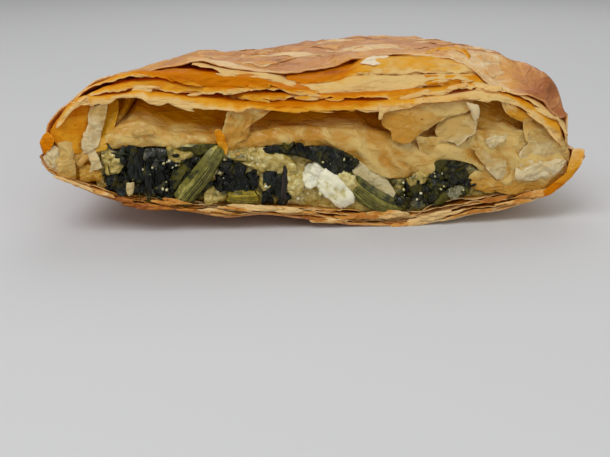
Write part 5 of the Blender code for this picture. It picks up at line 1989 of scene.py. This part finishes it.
def stalk_solid(path: Sequence[tuple], widths: Sequence[float], flatness: float, ribs: int, seed: int,
                sides: int = 54, rough: float = 0.08) -> Solid:
    """A ribbed stalk with torn ends.

    Args:
        path: Points along its middle.
        widths: Its width at each point.
        flatness: Its depth as a share of its width.
        ribs: How many ribs run along it.
        seed: Which unevenness.
        sides: Points round it.
        rough: How uneven it is.

    Returns:
        The stalk.
    """
    knots = np.linspace(0, 1, len(path)).tolist()
    v = np.linspace(0, 1, 12 if sides < 12 else 48)
    middle = np.stack([Line(tuple(zip(knots, [p[k] for p in path])))(v) for k in range(3)], axis=-1)
    width = Line(tuple(zip(knots, widths)))(v)[:, None]
    along = np.gradient(middle, axis=0)
    along /= np.linalg.norm(along, axis=-1, keepdims=True)
    side = np.cross(along, (0.0, -1.0, 0.0))
    side /= np.linalg.norm(side, axis=-1, keepdims=True)
    front = np.cross(side, along)
    turn = np.linspace(0, 2 * math.pi, sides, endpoint=False)[None, :]
    bumps = 1 + 0.07 * np.cos(turn * ribs) + rough * Noise.fractal(v[:, None] * 6, np.cos(turn) * 2,
                                                                   np.sin(turn) * 2, 1, seed, 3)
    reach = width / 2 * bumps * np.sqrt(np.clip(1 - (2 * v[:, None] - 1) ** 24, 0.08, 1))
    fray = 0.25 * width * Noise.fractal(np.cos(turn) * 3, np.sin(turn) * 3, 0.0, 1, seed + 4, 2)
    shift = fray * (ease((v[:, None] - 0.85) / 0.15) - ease((0.15 - v[:, None]) / 0.15))
    rings = middle[:, None] + side[:, None] * (np.cos(turn) * reach)[..., None] \
        + front[:, None] * (np.sin(turn) * reach * flatness)[..., None] + along[:, None] * shift[..., None]
    folded = 0.5 - 0.5 * np.cos(turn)
    return Solid.tube(rings, grid(seed * 0.37 % 1, folded + 0.3 * np.sin(turn), v[:, None]))


# Floor, light and camera


def outward(azimuth: float, elevation: float) -> Vector:
    """A direction away from the food.

    Args:
        azimuth: Its turn to the right of the front, in degrees.
        elevation: Its height above the floor, in degrees.

    Returns:
        Its unit vector.
    """
    turn, tilt = math.radians(azimuth), math.radians(elevation)
    return Vector((math.sin(turn) * math.cos(tilt), -math.cos(turn) * math.cos(tilt), math.sin(tilt)))


class Softbox(Enum):
    """The studio's lights: azimuth, elevation, distance in metres, size in metres and power in watts."""

    KEY = (-38.0, 52.0, 0.9, 0.5, 4.0)
    FILL = (30.0, 20.0, 1.1, 0.8, 1.9)
    BACK = (165.0, 48.0, 0.9, 0.6, 1.6)


@dataclass
class Studio:
    """A plain pale floor, soft light and a camera at the photograph's viewing angle."""

    lens: float = 50.0
    sensor: float = 36.0
    image: tuple[int, int] = (610, 457)
    aim: Triple = (0.0, -44.0, 20.0)
    aim_pixel: Pair = (310.0, 154.0)
    azimuth: float = -6.0
    elevation: float = 14.0
    distance: float = 218.0
    floor_size: float = 6.0
    lit: Triple = (0.0, -20.0, 20.0)
    sky: float = 0.34
    sky_colour: Colour = (1.0, 0.985, 0.96, 1.0)

    def floor(self) -> bpy.types.Object:
        """Make the floor.

        Returns:
            The floor.
        """
        half = self.floor_size / 2
        mesh = bpy.data.meshes.new("floor")
        mesh.from_pydata([(-half, -half, 0), (half, -half, 0), (half, half, 0), (-half, half, 0)], [],
                         [(0, 1, 2, 3)])
        mesh.materials.append(PaleFloor().material())
        floor = bpy.data.objects.new("floor", mesh)
        bpy.context.scene.collection.objects.link(floor)
        return floor

    def camera(self) -> bpy.types.Object:
        """Make the camera, so that the aim point falls on its pixel.

        Returns:
            The camera.
        """
        focal = self.lens / self.sensor * self.image[0]
        yaw = math.atan((self.aim_pixel[0] - self.image[0] / 2) / focal)
        dip = math.atan((self.image[1] / 2 - self.aim_pixel[1]) / focal)
        heading = math.radians(self.azimuth) + yaw
        forward = -outward(math.degrees(heading), self.elevation + math.degrees(dip))
        right = Vector((math.cos(heading), math.sin(heading), 0))
        up = right.cross(forward)
        lens = bpy.data.cameras.new("camera")
        lens.lens = self.lens
        lens.sensor_width = self.sensor
        lens.clip_start = 0.01
        camera = bpy.data.objects.new("camera", lens)
        spot = (Vector(self.aim) + outward(self.azimuth, self.elevation) * self.distance) * MM
        camera.matrix_world = Matrix.Translation(spot) @ Matrix((right, up, -forward)).transposed().to_4x4()
        bpy.context.scene.collection.objects.link(camera)
        bpy.context.scene.camera = camera
        return camera

    def light(self, box: Softbox) -> bpy.types.Object:
        """Make one softbox that faces the food.

        Args:
            box: Which one.

        Returns:
            The light.
        """
        azimuth, elevation, distance, size, power = box.value
        lamp = bpy.data.lights.new("softbox_" + box.name.lower(), "AREA")
        lamp.size = size
        lamp.energy = power
        away = outward(azimuth, elevation)
        made = bpy.data.objects.new(lamp.name, lamp)
        made.location = Vector(self.lit) * MM + away * distance
        made.rotation_euler = (-away).to_track_quat("-Z", "Y").to_euler()
        bpy.context.scene.collection.objects.link(made)
        return made

    def world(self) -> None:
        """Fill the room with even white light."""
        world = bpy.data.worlds.new("room")
        world.use_nodes = True
        sockets = world.node_tree.nodes["Background"].inputs
        sockets["Strength"].default_value = self.sky
        sockets["Color"].default_value = self.sky_colour
        bpy.context.scene.world = world
        view = bpy.context.scene.view_settings
        view.view_transform = "Standard"
        view.look = "None"
        view.exposure = 0.0

    def build(self) -> None:
        """Make the studio."""
        self.camera()
        self.floor()
        self.world()
        for box in Softbox:
            self.light(box)


def main() -> None:
    """Build every piece of the food and the studio round it."""
    logging.basicConfig(level=logging.INFO, format="%(name)s %(message)s")
    parcel = Parcel()
    soft = SoftLayer(parcel)
    Studio().build()
    for part in (Shell(parcel), PlyStack(parcel), soft, Scraps(parcel), BottomPlies(parcel),
                 Filling(parcel, soft)):
        for piece in part.build():
            log.info("%s: %d faces", piece.name, len(piece.data.polygons))


if __name__ == "__main__":
    main()
